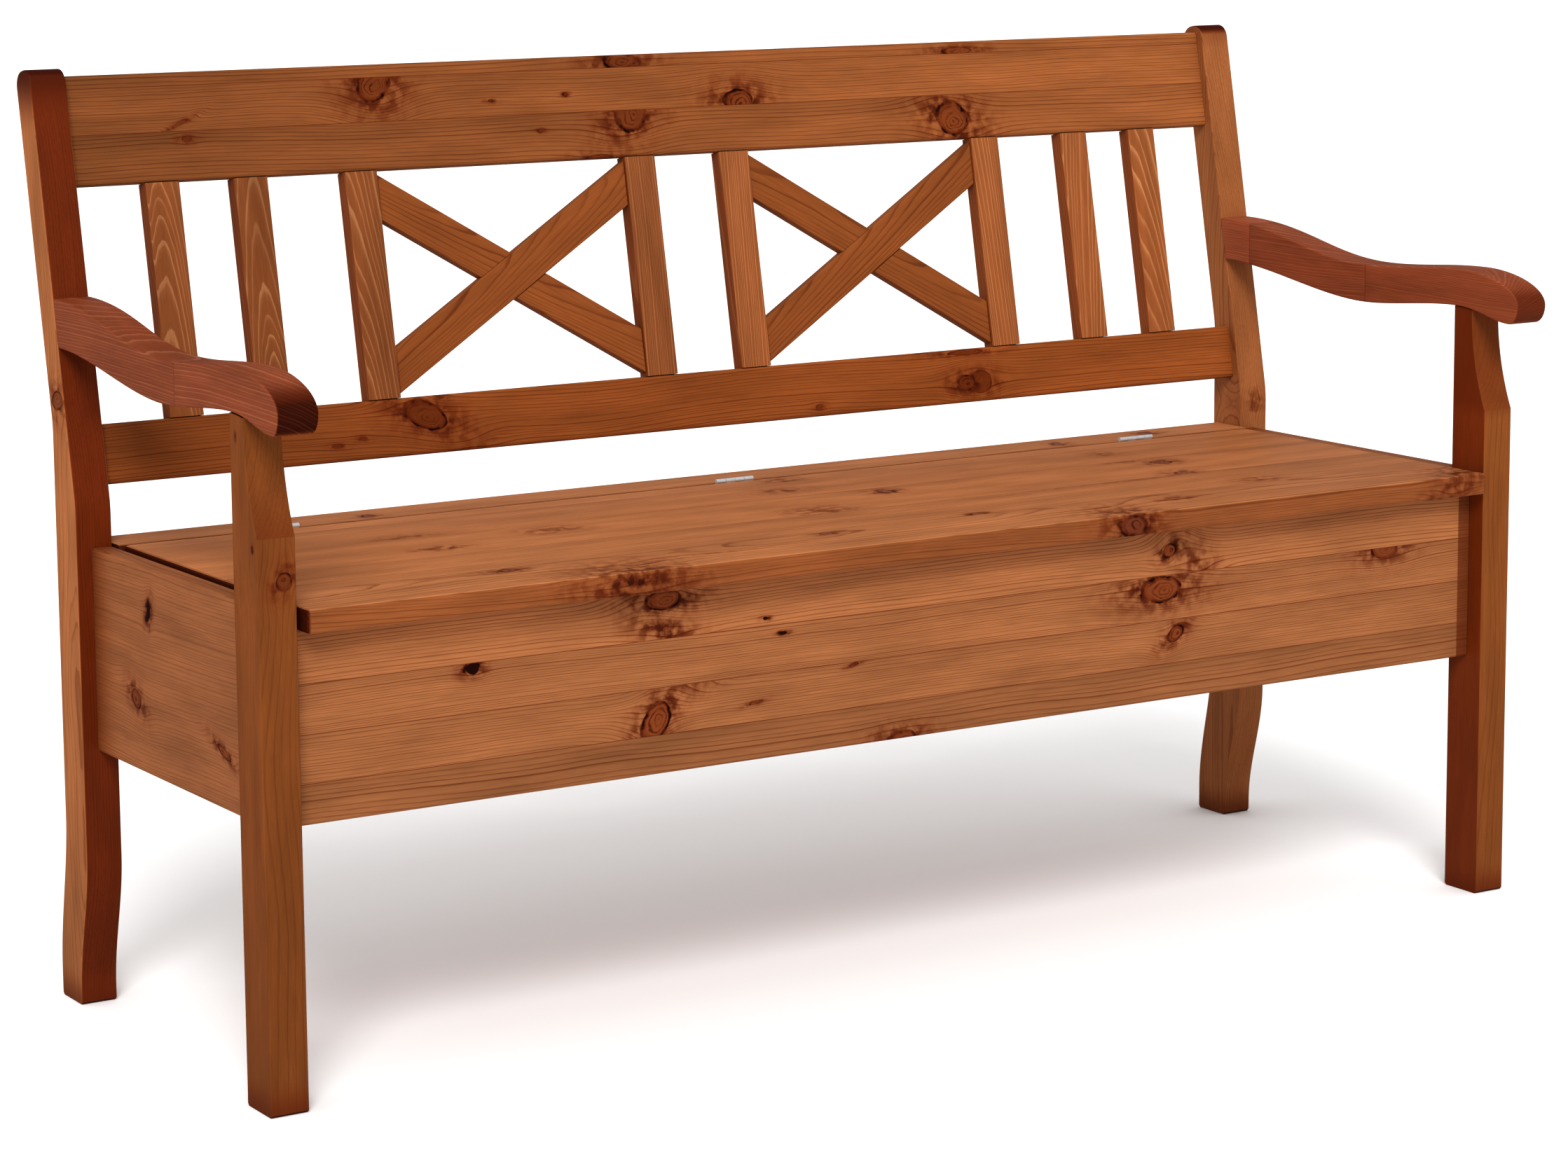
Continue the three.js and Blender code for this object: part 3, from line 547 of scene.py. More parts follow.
    # Where the saw crossed the fibres the stain is deepest, but the dense rings take less of it
    facing = add(
        tree, "ShaderNodeVectorMath", {"operation": "DOT_PRODUCT"}, {0: spot["Normal"], 1: along}
    )["Value"]
    open_pores = add(tree, "ShaderNodeMath", {"operation": "ABSOLUTE"}, {0: facing})[0]
    cut = add(
        tree, "ShaderNodeMapRange", {"interpolation_type": "SMOOTHSTEP"},
        {"Value": open_pores, "From Min": 0.12, "From Max": 0.82, "To Min": 0.0, "To Max": ends},
    )[0]
    dense = add(
        tree, "ShaderNodeMath", {"operation": "MULTIPLY_ADD"}, {0: growth["Line"], 1: -0.22, 2: 1.0}
    )[0]
    cut = add(tree, "ShaderNodeMath", {"operation": "MULTIPLY"}, {0: cut, 1: dense})[0]
    deep = add(tree, "ShaderNodeMath", {"operation": "MAXIMUM"}, {0: cut, 1: shade})[0]
    # Spans darken the board: stain that crept in from an end, and painted shade where a neighbour's
    # shadow falls
    for span_start, span_full, amount in soaked_and_shaded:
        darkened_span = add(
            tree, "ShaderNodeMapRange", {"interpolation_type": "SMOOTHSTEP"},
            {"Value": spread["X"], "From Min": span_start, "From Max": span_full, "To Min": 0.0, "To Max": amount},
        )[0]
        deep = add(tree, "ShaderNodeMath", {"operation": "MAXIMUM"}, {0: deep, 1: darkened_span})[0]
    glued = add(tree, "ShaderNodeMath", {"operation": "MULTIPLY"}, {0: seam_line, 1: 0.55})[0]
    deep = add(tree, "ShaderNodeMath", {"operation": "MAXIMUM"}, {0: deep, 1: glued})[0]
    # Deep stain and painted shade both turn the wood to chestnut, then to its darkest colour
    stain_and_shade_mix = add(
        tree, "ShaderNodeMath", {"operation": "MULTIPLY", "use_clamp": True}, {0: deep, 1: 1.25}
    )[0]
    colour = add(
        tree, "ShaderNodeMix", {"data_type": "RGBA"}, {0: stain_and_shade_mix, 6: colour, 7: linear(CHESTNUT_STAIN_AND_SHADE)}
    )[2]
    deepest_stain_and_shade = add(tree, "ShaderNodeMath", {"operation": "POWER", "use_clamp": True}, {0: deep, 1: 1.7})[0]
    colour = add(tree, "ShaderNodeMix", {"data_type": "RGBA"}, {0: deepest_stain_and_shade, 6: colour, 7: linear(dark)})[2]

    # The lacquer film lies a little hollow over the soft wood and along the seams
    relief = add(
        tree, "ShaderNodeMath", {"operation": "MULTIPLY_ADD"}, {0: growth["Fibre"], 1: 0.5, 2: drawn}
    )[0]
    relief = add(tree, "ShaderNodeMath", {"operation": "SUBTRACT"}, {0: relief, 1: seam_line})[0]
    bump = add(tree, "ShaderNodeBump", {}, {"Strength": 0.3, "Distance": 0.15 * MM, "Height": relief})
    gloss = add(
        tree, "ShaderNodeMapRange", {"clamp": False},
        {"Value": growth["Fibre"], "To Min": 0.44, "To Max": 0.58},
    )[0]
    surface = add(
        tree, "ShaderNodeBsdfPrincipled", {},
        {"Base Color": colour, "Roughness": gloss, "IOR": 1.5, "Specular IOR Level": 0.07,
         "Normal": bump[0]},
    )
    add(tree, "ShaderNodeOutputMaterial", {}, {"Surface": surface[0]})
    return material


def zinc_plate():
    """Bright zinc-plated steel: a cold grey metal with a faint cloudy crystal pattern."""
    material, tree = new_material("zinc_plated_steel")
    spot = add(tree, "ShaderNodeTexCoord")
    crystals = add(tree, "ShaderNodeTexVoronoi", {}, {"Vector": spot["Object"], "Scale": CRYSTALS})
    tint = add(
        tree, "ShaderNodeMix", {"data_type": "RGBA"},
        {0: crystals["Color"], 6: linear("#e4e8ea"), 7: linear("#cdd4d8")},
    )[2]
    gloss = add(
        tree, "ShaderNodeMapRange", {}, {"Value": crystals["Distance"], "To Min": 0.36, "To Max": 0.5}
    )[0]
    surface = add(
        tree, "ShaderNodeBsdfPrincipled", {}, {"Base Color": tint, "Roughness": gloss, "Metallic": 0.6}
    )
    add(tree, "ShaderNodeOutputMaterial", {}, {"Surface": surface[0]})
    return material


def white_paper():
    """Matt white background paper: even and dull, so that only the shadows show on it."""
    material, tree = new_material("matt_white_paper")
    surface = add(
        tree, "ShaderNodeBsdfPrincipled", {},
        {"Base Color": linear("#fbfbfb"), "Roughness": 0.9, "Specular IOR Level": 0.1},
    )
    add(tree, "ShaderNodeOutputMaterial", {}, {"Surface": surface[0]})
    return material


# Looks: ground, growth line, deepest stain, knot's core, and how strongly the lines show
TOP_RAIL = ("#834f2b", "#4a1b08", "#1c0401", "#6c3818", 0.7)
LOWER_RAIL = ("#854a22", "#471807", "#180301", "#64300f", 0.75)
LID = ("#a96e45", "#78401f", "#2c0d04", "#84503c", 0.75)
PANEL = ("#865635", "#521f0a", "#220601", "#6e391b", 0.74)
SIDE_PANEL = ("#875433", "#56240e", "#220601", "#6e391b", 0.5)
POST = ("#9a6038", "#6a3010", "#230200", "#74401f", 0.5)
LEG = ("#71401c", "#4d1f09", "#1c0301", "#5e3014", 0.34)
ARM = ("#834228", "#a8704e", "#160000", "#6d3324", 0.5)
SLAT = ("#864e2a", "#b47e54", "#250601", "#6e3418", 0.7)
BRACE = ("#824a24", "#4d1e0a", "#250601", "#6e3418", 0.6)
HIDDEN = ("#844a23", "#5c2810", "#240801", "#6e3418", 0.6)

# Ways that a face can look
FRONT = Vector((0, -1, 0))
LEFT = Vector((-1, 0, 0))
NOSE = Vector((0, -0.9, 0.44))  # forward and a little up


def paint(node, material):
    """Gives a CAD node its finish."""
    slots = nodes[node].data.materials
    slots.clear()
    slots.append(material)


# Shaped pieces

SMOOTH_UP_TO = math.radians(21)
SCREW_SHIFT = 13.5  # from a leaf's middle to its two screws
HEAD_STEPS = 24
HEAD_RADIUS, HEAD_DEPTH = 1.6, 0.7
SLOT_REACH, SLOT_HALF, SLOT_DEPTH = 1.0, 0.2, 0.4
HEAD_SINK = 0.2  # below the leaf's face
SORTED_ALONG = Vector((1, 31, 977))  # no two faces of a head lie equally far along it


def curve(outline, first, second, end, steps=20):
    """Runs an outline on along a curve with two handles."""
    run = interpolate_bezier(*(Vector((*p, 0)) for p in (outline[-1], first, second, end)), steps + 1)
    outline.extend((p.x, p.y) for p in run[1:])


def level_curve(outline, end, from_share, to_share):
    """A curve that leaves one point level and reaches the next one level."""
    (y, z), run = outline[-1], end[0] - outline[-1][0]
    curve(outline, (y + from_share * run, z), (end[0] - to_share * run, end[1]), end)


def new_object(name, data):
    """An object that stands in the scene."""
    thing = bpy.data.objects.new(name, data)
    bpy.context.scene.collection.objects.link(thing)
    return thing


def only(kind, parts):
    """The parts of one kind, out of what a bmesh operator returns."""
    return [part for part in parts if isinstance(part, kind)]


def shaped(name, outline, middle, width, arris, material, node):
    """Saws a piece out along its side outline and rounds the edges of its two sides."""
    bm = bmesh.new()
    half = width / 2
    ring = [bm.verts.new((middle - half, y + PROFILE_START, z)) for y, z in outline]
    side = bm.faces.new(ring)
    far = only(bmesh.types.BMVert, bmesh.ops.extrude_face_region(bm, geom=[side])["geom"])
    bmesh.ops.translate(bm, verts=far, vec=(width, 0, 0))
    bmesh.ops.recalc_face_normals(bm, faces=bm.faces)
    rims = [e for e in bm.edges if abs(e.verts[0].co.x - e.verts[1].co.x) < half]
    bmesh.ops.bevel(bm, geom=rims, offset=arris, segments=5, profile=0.5, affect="EDGES", material=-1,
                    clamp_overlap=True)
    bmesh.ops.scale(bm, verts=bm.verts, vec=(MM, MM, MM))
    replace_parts(finished(name, bm, material, nodes[node]["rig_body"]), node)


def finished(name, bm, material, body):
    """Turns a bmesh into a piece that moves with a body."""
    mesh = bpy.data.meshes.new(name)
    bm.to_mesh(mesh)
    bm.free()
    mesh.shade_smooth()
    mesh.set_sharp_from_angle(angle=SMOOTH_UP_TO)
    mesh.materials.append(material)
    piece = new_object(name, mesh)
    flat_faces = piece.modifiers.new("flat_faces", "WEIGHTED_NORMAL")
    flat_faces.keep_sharp = True
    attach(piece, body)
    return piece


def leaf_screws(name, x, side, material, body):
    """The two cross-slotted screw heads sunk in a hinge leaf. Side is 1 for the leaf on the strip."""
    bm = bmesh.new()
    for shift in (-SCREW_SHIFT, SCREW_SHIFT):
        turns = [Matrix.Rotation(i * 2 * math.pi / HEAD_STEPS, 3, "Z") for i in range(HEAD_STEPS)]
        quarters = turns[::HEAD_STEPS // 4]
        rim = [bm.verts.new(turn @ Vector((HEAD_RADIUS, 0, 0))) for turn in turns]
        slot_end = ((SLOT_REACH, -SLOT_HALF), (SLOT_REACH, SLOT_HALF), (SLOT_HALF, SLOT_HALF))
        cross = [bm.verts.new(turn @ Vector((*place, 0))) for turn in quarters for place in slot_end]
        loops = [
            [bm.edges.new((loop[i - 1], loop[i])) for i in range(len(loop))] for loop in (rim, cross)
        ]
        bmesh.ops.triangle_fill(bm, edges=loops[0] + loops[1], use_beauty=True)
        head = rim + cross
        for loop, depth in zip(loops, (HEAD_DEPTH, SLOT_DEPTH)):
            wall = bmesh.ops.extrude_edge_only(bm, edges=loop)["geom"]
            low = only(bmesh.types.BMVert, wall)
            ring = [e for e in only(bmesh.types.BMEdge, wall) if all(v in low for v in e.verts)]
            bmesh.ops.translate(bm, verts=low, vec=(0, 0, -depth))
            bmesh.ops.contextual_create(bm, geom=ring)
            head += low
        stand = Matrix.Rotation(side * math.pi / 2, 3, "X")
        bmesh.ops.rotate(bm, verts=head, cent=(0, 0, 0), matrix=stand)
        bmesh.ops.translate(bm, verts=head, vec=(x + shift, HINGE_LINE + side * HEAD_SINK, LEAF_HOLES))

    # Extruding leaves edges and faces in any order, and each run has to give the same mesh
    for parts in (bm.edges, bm.faces):
        parts.sort(key=lambda part: sum((v.co for v in part.verts), Vector()).dot(SORTED_ALONG))
    bmesh.ops.recalc_face_normals(bm, faces=bm.faces)
    bmesh.ops.scale(bm, verts=bm.verts, vec=(MM, MM, MM))
    return finished(name, bm, material, body)


def flat(place):
    """A place on a side profile as a pair, for an outline."""
    return place.y - PROFILE_START, place.z


def arm_outline():
    """The S-shaped arm with its drooping nose."""
    seat_y, under = LEG_DEPTH, 629.3
    front_gap = FIT / LEAN_COS
    rear_top, rear_low = 692.5, 646.0
    lean_tan = LEAN_SIN / LEAN_COS
    dip_y, dip_top, dip_low = POST_SETBACK - 211, 660.5, 619.5
    crest = (0.8 * LEG_DEPTH, under + 39.2)
    nose = (-50, 636)
    lip = (-35, 617)
    rear_bottom = (POST_SETBACK + (rear_low - LEAN_START) * lean_tan - front_gap, rear_low)
    outline = [rear_bottom, (POST_SETBACK + (rear_top - LEAN_START) * lean_tan - front_gap, rear_top)]
    level_curve(outline, (dip_y, dip_top), 0.44, 0.38)
    level_curve(outline, crest, 0.36, 0.36)
    curve(outline, (crest[0] + 0.5 * (nose[0] - crest[0]), crest[1]),
          (nose[0], nose[1] + 0.58 * (crest[1] - nose[1])), nose)
    curve(outline, (nose[0], nose[1] + 0.5 * (lip[1] - nose[1])), (lip[0] - 9, lip[1]), lip, 10)
    level_curve(outline, (seat_y, under), 0.32, 0.48)
    level_curve(outline, (dip_y, dip_low), 0.3, 0.3)
    level_curve(outline, rear_bottom, 0.32, 0.32)
    return outline[:-1]


def post_outline():
    """The sabre-shaped back post: swept back at the foot, leaning back above the seat."""
    blend, round_top, top_depth, depth = 11, 15, 35, 50
    middle_rise = 408.2012
    top_rise = middle_rise + round_top
    sweep, foot_depth = 23.5, 48
    foot_front, foot_rear = POST_SETBACK + sweep, POST_SETBACK + sweep + foot_depth
    rear = POST_SETBACK + depth
    front_low, front_high = 15, 150
    rear_low, rear_high = 28, 185
    bend_rise = (depth - top_depth * LEAN_COS) / LEAN_SIN
    bend = flat(on_lean(top_depth, bend_rise))
    round_share = 0.5523

    def corner(outline, tip, end, share=round_share):
        start = outline[-1]
        first = (start[0] + share * (tip[0] - start[0]), start[1] + share * (tip[1] - start[1]))
        second = (end[0] + share * (tip[0] - end[0]), end[1] + share * (tip[1] - end[1]))
        curve(outline, first, second, end, 8)

    outline = [(foot_rear - FOOT_CHAMFER, 0), (foot_rear, FOOT_CHAMFER), (foot_rear, rear_low)]
    third = (rear_high - rear_low) / 3
    curve(outline, (foot_rear, rear_low + third), (rear, rear_high - third), (rear, rear_high))
    outline.append((rear, bend[1] - blend))
    corner(outline, bend, flat(on_lean(top_depth, bend_rise + blend)), 2 / 3)
    outline.append(flat(on_lean(top_depth, middle_rise)))
    corner(outline, flat(on_lean(top_depth, top_rise)), flat(on_lean(top_depth - round_top, top_rise)))
    outline.append(flat(on_lean(round_top, top_rise)))
    corner(outline, flat(on_lean(0, top_rise)), flat(on_lean(0, middle_rise)))
    outline.append(flat(on_lean(0, blend)))
    corner(outline, (POST_SETBACK, LEAN_START), (POST_SETBACK, LEAN_START - blend), 2 / 3)
    outline.append((POST_SETBACK, front_high))
    third = (front_high - front_low) / 3
    curve(outline, (POST_SETBACK, front_high - third), (foot_front, front_low + third),
          (foot_front, front_low))
    outline.extend([(foot_front, FOOT_CHAMFER), (foot_front + FOOT_CHAMFER, 0)])
    return outline


def leg_outline(arm):
    """The front leg, with a hollow neck above its shoulder, and its top cut to the arm above."""
    hollow, rise, shoulder, blank_top = 22.5, 105, 522, 629.0
    below_crest, steps = 640, 24
    radius = (rise ** 2 + hollow ** 2) / (2 * hollow)
    neck_top = shoulder + rise
    under = sorted((y, z - FIT) for y, z in arm if z < below_crest and hollow < y < LEG_DEPTH)
    outline = [(0, FOOT_CHAMFER), (FOOT_CHAMFER, 0), (LEG_DEPTH - FOOT_CHAMFER, 0),
               (LEG_DEPTH, FOOT_CHAMFER), (LEG_DEPTH, blank_top)] + under[::-1]
    full = math.asin(rise / radius)
    for step in range(steps + 1):
        turn = full * step / steps
        y = hollow - radius + radius * math.cos(turn)
        z = neck_top - radius * math.sin(turn)
        if z < under[0][1]:
            outline.append((y, z))
    return outline


arm_side = arm_outline()
post_side = post_outline()
leg_side = leg_outline(arm_side)

# What sets the wood of one side apart from the other's
FOOT_STAIN = (-262, -300, 0.5)
POST_WOOD = {
    # The left post's front face is darkened: painted shade.
    "left": {"knots": [(294.7, 8.4, 9, 13, 10, 0, 0.72)], "soaked_and_shaded": [(540, 612, 0.8), FOOT_STAIN],
             "run": (-300, 50, 0.78, 1.0), "tone": 1.05, "face": (FRONT, 0.95, "#602306")},
    "right": {"knots": [(184, -26.9, 6, 9, 0, 0, 0.6, -1.9)], "soaked_and_shaded": [(575, 625, 0.5), FOOT_STAIN],
              "tone": 0.86},
}
LEG_WOOD = {
    # The left leg's left side is lightened: painted light.
    "left": {"knots": [(182.8, 6.7, 8, 7.5, 30, 0, 0.95), (212.2, 0, 1.9, 1.6, 0, 0, 1.3, 9.2),
                       (308.9, 0, 1.9, 1.6, 0, 0, 1.3, 38)],
             "soaked_and_shaded": [FOOT_STAIN], "face": (LEFT, 0.5, "#84491f")},
    # The right leg's inner side, towards the box, is darkened: painted shade.
    "right": {"soaked_and_shaded": [FOOT_STAIN, (207, 232, 0.36)], "tone": 1.2, "face": (LEFT, 0.65, "#6a2004")},
}
ARM_WOOD = {
    "left": {"seams": [(-68, 0.86, "X")], "tone": 0.96, "face": (NOSE, 0.9, "#2a0502")},
    "right": {"seams": [(-42, 0.94, "X"), (158, 1.16, "X")], "tone": 0.98, "ends": 0.62},
}
for side, word in SIDES:
    leg_x = side * (HALF_LENGTH - LEG_WIDTH / 2)
    arm_x = side * (HALF_LENGTH - ARM_WIDTH / 2)
    post_wood = stained_pine(
        f"stained_pine_{word}_post", Vector((leg_x, 200, 300)), Z_AXIS, Y_AXIS, 11 + side, POST,
        pith=(-20, 100), ring=2.6, taper=0.006, **POST_WOOD[word],
    )
    leg_wood = stained_pine(
        f"stained_pine_{word}_leg", Vector((leg_x, PROFILE_START, 300)), Z_AXIS, X_AXIS, 15 + side, LEG,
        pith=(-40, 90), ring=2.8, taper=0.012, run=(-300, 240, 0.86, 1.05), **LEG_WOOD[word],
    )
    arm_wood = stained_pine(
        f"stained_pine_{word}_arm", Vector((arm_x, 0, 640)), Y_AXIS, Z_AXIS, 21 + side, ARM,
        pith=(-90, 60), ring=2.6, taper=0.05, wander=30, **ARM_WOOD[word],
    )
    shaped(f"sabre_post_{word}", post_side, leg_x, LEG_WIDTH, LEG_ARRIS, post_wood,
           f"{word}_back_post")
    shaped(f"neck_leg_{word}", leg_side, leg_x, LEG_WIDTH, LEG_ARRIS, leg_wood,
           f"{word}_front_leg")
    shaped(f"scroll_arm_{word}", arm_side, arm_x, ARM_WIDTH, ARM_ARRIS, arm_wood,
           f"{word}_armrest")
    paint(f"{word}_arm_front_dowel", arm_wood)
    paint(f"{word}_arm_rear_dowel", arm_wood)

# Back rails: knots and seams are measured from the middle of each rail
rail_middle = BACK_SET + BACK_THICKNESS / 2
# Both rails grow lighter towards their right ends (run): painted light.
top_rail_wood = stained_pine(
    "stained_pine_top_rail", on_lean(rail_middle, TOP_RAIL_RISE + TOP_RAIL_WIDTH / 2), X_AXIS,
    UP_THE_LEAN, 1, TOP_RAIL, pith=(-110, -40), ring=2.8, taper=0.006, wander=20,
    seams=[(-5.0, 1.08), (40.0, 0.95)], run=(-690, 690, 0.8, 1.28),
    knots=[(-356, 36, 16, 23, -35, 1, 1), (-70, 47, 19, 8, 0, 2, 1), (-64, -10, 19, 17, 30, 0, 1),
           (-105, -47, 16, 6, 12, 0, 0.8), (-565, -13, 5, 3, 0, 0, 0.8), (-571, 2, 9, 2, 25, 1, 0.7),
           (69, -1, 17, 13, 0, 1, 1), (340, -30.6, 20, 18, -20, 0, 1), (356, 43, 19, 4, 0, 2, 0.8),
           (-226, 11, 3, 1.5, 0, 1, 1.3), (-138, 14, 3, 1.5, 0, 1, 1.3), (-171, -22, 4, 1.5, 0, 0, 1.2)],
)
lower_rail_wood = stained_pine(
    "stained_pine_lower_rail", on_lean(rail_middle, LOWER_RAIL_RISE + LOWER_RAIL_WIDTH / 2), X_AXIS,
    UP_THE_LEAN, 2, LOWER_RAIL, pith=(-75, -30), ring=3.0, taper=0.008, wander=26,
    run=(-690, 690, 0.85, 1.15),
    knots=[(-338.6, 10.7, 24, 13, -25, 0, 0.9), (-320, 22.7, 5, 3, 0, 0, 0.8),
           (-307, -22, 16, 3, 10, 0, 0.8), (321.7, -7.8, 11, 8, 0, 0, 1.1), (323, 25, 23, 3, 0, 0, 0.8),
           (342, -8.2, 12, 9, 0, 0, 0.7), (129.4, -19.6, 4, 3, 0, 0, 0.7), (-409, -8, 4, 2, 0, 0, 0.7),
           (-438.7, -13.4, 6, 2, 0, 0, 0.7)],
)
paint("top_back_rail", top_rail_wood)
paint("lower_back_rail", lower_rail_wood)

# Slats, their grain up the lean
# Each slat's left side is darkened: painted shade.
SLAT_PITHS = [(6, -20), (-4, -16), (22, -40), (90, 0), (-70, -20), (60, -50), (-50, -70), (20, -60)]
SLAT_TONES = [0.8, 0.7, 0.76, 0.86, 1.0, 1.05, 1.06, 1.08]
for i, (x, pith, tone) in enumerate(zip(SLAT_PLACES, SLAT_PITHS, SLAT_TONES)):
    middle = on_lean(rail_middle, SLAT_MIDDLE_RISE) + x * X_AXIS
    wood = stained_pine(
        f"stained_pine_slat_{i + 1}", middle, UP_THE_LEAN, -X_AXIS, 31 + i, SLAT, pith=pith, ring=2.6,
        taper=0.06, wander=14, tone=tone, face=(LEFT, 0.6, "#642806"),
    )
    paint(f"back_slat_{i + 1}", wood)

# Crossed braces, their grain along each brace
for side, word in SIDES:
    middle = on_lean(BRACE_BEHIND, SLAT_MIDDLE_RISE) + side * BRACE_MIDDLE * X_AXIS
    for climb, kind in ((BRACE_CLIMB, "rising"), (-BRACE_CLIMB, "falling")):
        along = math.cos(climb) * X_AXIS + math.sin(climb) * UP_THE_LEAN
        across = math.cos(climb) * UP_THE_LEAN - math.sin(climb) * X_AXIS
        wood = stained_pine(
            f"stained_pine_{word}_{kind}_brace", middle, along, across, 41 + side + 4 * climb, BRACE,
            pith=(20, -35), ring=2.8, taper=0.05, wander=22,
        )
        paint(f"{word}_{kind}_brace", wood)

# Box
front_wood = stained_pine(
    "stained_pine_front_panel", on_profile(31.5, PANEL_MIDDLE), X_AXIS, Z_AXIS, 5, PANEL,
    pith=(-130, -35), ring=3.4, taper=0.006, wander=22, tone=1.02,
    # From 673 mm to its right end the panel is darkened: painted shadow of the right front leg.
    seams=[(-52.0, 1.22), (-7.0, 1.25), (39.0, 1.44)], soaked_and_shaded=[(672, 673, 0.5)],
    knots=[(-304, 76, 19, 9, 0, 3, 1), (-303, 48, 20, 13, -30, 3, -0.8), (-505, 33.6, 6, 5, 0, 2, 1.6),
           (-314, -39.6, 20, 13, 55, 1, 1), (-285, -18, 22, 7, 20, 1, 0.6),
           (-36.6, -90.7, 17, 9, 0, 0, 1), (289, 64, 8, 6.5, 30, 3, 1.1), (319, 51, 22, 13, -40, 3, 0.6),
           (277.5, 25.5, 24, 13, 0, 2, 1), (297, -22, 11, 7, 35, 1, 1), (570, 38, 17, 10, 0, 2, 0.9),
           (-191.8, 46.4, 2.5, 1.5, 0, 3, 1.6), (-171.6, 30.2, 3.5, 1.5, 0, 2, 1.6),
           (-92, -9.7, 5, 1.4, 10, 1, 1.2), (-204, -33.7, 6, 1.6, 10, 1, 1)],
)
back_wood = stained_pine(
    "stained_pine_back_panel", on_profile(441.5, PANEL_MIDDLE), X_AXIS, Z_AXIS, 6, PANEL,
    pith=(-70, -45), ring=2.8, taper=0.006, wander=22, seams=[(-46.0, 1.15), (2.0, 0.95), (47.0, 1.1)],
    knots=[(-420, 20, 15, 11, 20, 2, 1), (160, -20, 17, 12, -20, 1, 1), (520, 66, 12, 8, 0, 3, 0.9)],
)
paint("box_front_panel", front_wood)
paint("box_back_panel", back_wood)
SIDE_PANEL_KNOTS = {
    "left": [(48.8, 57.6, 3.5, 9, 15, 0, 1.6), (81.8, -30.7, 11, 8, 30, 0, 0.9),
             (-113.7, -46, 14, 4, 20, 0, 0.9)],
    "right": [(60, 20, 12, 9, 20, 0, 1)],
}
for side, word in SIDES:
    side_wood = stained_pine(
        f"stained_pine_{word}_side_panel", Vector((side * SIDE_PANEL_X, -6, 355.7)), Y_AXIS, Z_AXIS,
        8 + side, SIDE_PANEL, pith=(150, -30), ring=3.4, taper=0.01, wander=26, tone=1.1,
        # The side panel darkens towards its rear end, by the back post.
        soaked_and_shaded=[(120, 190, 0.42)], knots=SIDE_PANEL_KNOTS[word],
    )
    paint(f"box_{word}_side_panel", side_wood)
    paint(f"box_{word}_batten", side_wood)

# Seat
lid_wood = stained_pine(
    "stained_pine_lid", Vector((0, -44, LID_MIDDLE)), X_AXIS, Y_AXIS, 3, LID, pith=(-60, -50), ring=3.0,
    taper=0.008, wander=22, seams=[(-116.0, 0.97), (-24.0, 1.03), (82.0, 0.97), (168.0, 1.04)],
    # Its front edge is darker than its top: painted shade.
    face=(FRONT, 0.7, "#6e3714"), run=(-700, 700, 1.07, 0.96),
    knots=[(-439, 84.6, 14, 10, 0, 3, 0.5), (-446, -27, 15, 11, 0, 0, 0.5),
           (-438, 13.5, 13, 8, 0, 2, 0.6), (-301, 46.6, 15, 12, 0, 2, 0.5),
           (-444, -127, 10, 7, 0, 0, 0.9), (49, 182, 11, 12, 0, 4, 0.5),
           (13, 124, 14, 9, 0, 3, 0.6), (97, 58, 9, 9, 0, 2, 0.9), (-22, -9, 17, 17, 0, 2, 0.5),
           (-298, -169, 13, 8, 0, 0, 0.3), (-93, -124, 7, 6, 0, 0, 0.8), (417, 80, 11, 7, 0, 2, 0.5),
           (452, 55.7, 10, 10, 0, 2, 0.9), (423, -20.6, 10, 12, 0, 2, 0.8), (464, -97, 14, 9, 0, 1, 0.5),
           (315, -145, 14, 11, 0, 0, 0.5), (94, -112, 8, 6, 0, 1, 0.8), (435, 138, 8, 10, 0, 3, 0.4),
           (-350, -202, 27, 11, 0, 0, -0.95, -1), (220, -202, 16, 10.5, 0, 0, 1.1, -1),
           (646, -202, 30, 10, 24, 0, -0.75, 2),
           (-264, -155, 53, 3, 0, 0, 0.35), (337, -28, 44, 3, 0, 1, 0.35)],
)
strip_wood = stained_pine(
    "stained_pine_strip", Vector((0, 189, LID_MIDDLE)), X_AXIS, Y_AXIS, 4, LID, pith=(-50, -60),
    # Its front face and arris, seen in the gap behind the lid, are darkened: painted shadow in the gap.
    ring=3.0, face=(NOSE, 0.95, "#3a1205"),
    knots=[(-413, -10, 6, 6, 0, 0, 0.9), (437, -8, 6, 8, 0, 0, 0.8), (566, 4, 8, 8, 0, 0, 0.8)],
)
paint("seat_lid", lid_wood)
paint("seat_back_strip", strip_wood)

hidden_wood = stained_pine(
    "stained_pine_hidden", Vector((0, 0, 300)), X_AXIS, Y_AXIS, 51, HIDDEN, pith=(-40, -70), ring=3.4
)
cross_wood = stained_pine(
    "stained_pine_battens", Vector((0, 0, 430)), Y_AXIS, X_AXIS, 52, HIDDEN, pith=(-40, -70), ring=3.4
)
for node in ("box_bottom_panel", "box_front_batten", "box_rear_batten"):
    paint(node, hidden_wood)
for i in range(3):
    paint(f"lid_batten_{i + 1}", cross_wood)

zinc = zinc_plate()
for word, x in HINGE_PLACES:
    for kind in ("fixed_leaf", "moving_leaf", "pin"):
        paint(f"{word}_hinge_{kind}", zinc)
    leaf_screws(f"{word}_hinge_strip_screws", x, 1, zinc, "bench_frame")
    leaf_screws(f"{word}_hinge_lid_screws", x, -1, zinc, "lid")


# Studio

FLOOR_REACH = 60  # metres
ROOM_LIGHT, ROOM_SHEEN = 0.78, 0.25


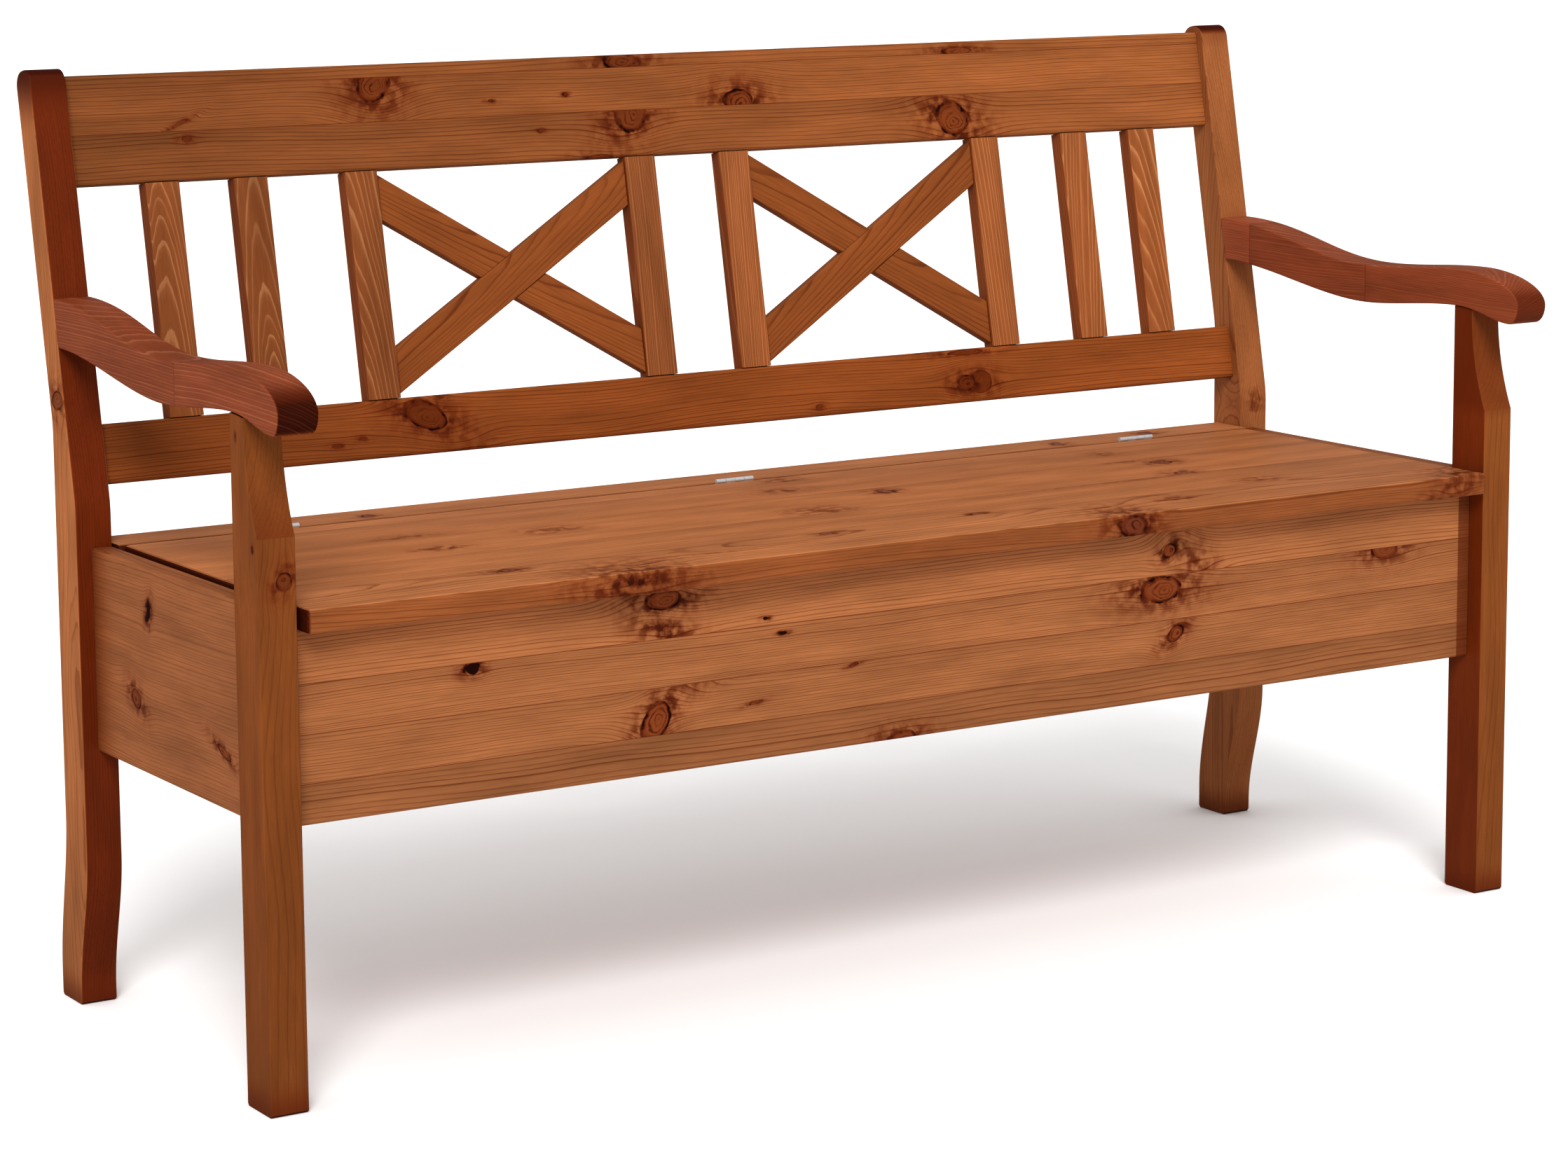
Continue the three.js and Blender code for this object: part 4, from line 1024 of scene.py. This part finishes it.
def studio_floor():
    """A pale, matt floor that runs far back."""
    bm = bmesh.new()
    bmesh.ops.create_grid(bm, x_segments=1, y_segments=1, size=FLOOR_REACH)
    mesh = bpy.data.meshes.new("studio_floor")
    bm.to_mesh(mesh)
    bm.free()
    mesh.materials.append(white_paper())
    floor = new_object("studio_floor", mesh)
    floor.visible_glossy = False


def soft_light(name, towards, power, spread):
    """A large soft light, far away in a direction."""
    light = bpy.data.lights.new(name, "SUN")
    light.energy = power
    light.angle = math.radians(spread)
    lamp = new_object(name, light)
    lamp.rotation_euler = Vector(towards).to_track_quat("Z", "Y").to_euler()


def white_room():
    """A white room. A polarising filter on the lens takes most of its sheen off the lacquer."""
    world = bpy.data.worlds.new("white_room")
    world.use_nodes = True
    tree = world.node_tree
    tree.nodes.clear()
    ray = add(tree, "ShaderNodeLightPath")
    strength = add(
        tree, "ShaderNodeMapRange", {},
        {"Value": ray["Is Glossy Ray"], "To Min": ROOM_LIGHT, "To Max": ROOM_SHEEN},
    )[0]
    room = add(tree, "ShaderNodeBackground", {}, {"Color": linear("#ffffff"), "Strength": strength})
    add(tree, "ShaderNodeOutputWorld", {}, {"Surface": room[0]})
    bpy.context.scene.world = world


def photo_camera():
    """The camera that took the photograph, found from the bench's corners in it."""
    lens = bpy.data.cameras.new("photo_camera")
    lens.sensor_width = 36
    lens.lens = 94.0164
    lens.shift_y = -0.07864
    lens.clip_end = 200
    camera = new_object("photo_camera", lens)
    right = Vector((0.845639, -0.533711, -0.006845))
    up = Vector((0.085457, 0.122722, 0.988755))
    back = Vector((-0.52687, -0.836715, 0.149388))
    place = Matrix.Translation((-2.20593, -3.44824, 1.1239))
    camera.matrix_world = place @ Matrix((right, up, back)).transposed().to_4x4()
    bpy.context.scene.camera = camera


studio_floor()
white_room()
soft_light("soft_key", (-1.4, -2.35, 2.2), power=2.15, spread=24)
photo_camera()
bpy.context.scene.view_settings.view_transform = "Standard"
bpy.context.scene.view_settings.look = "Medium High Contrast"
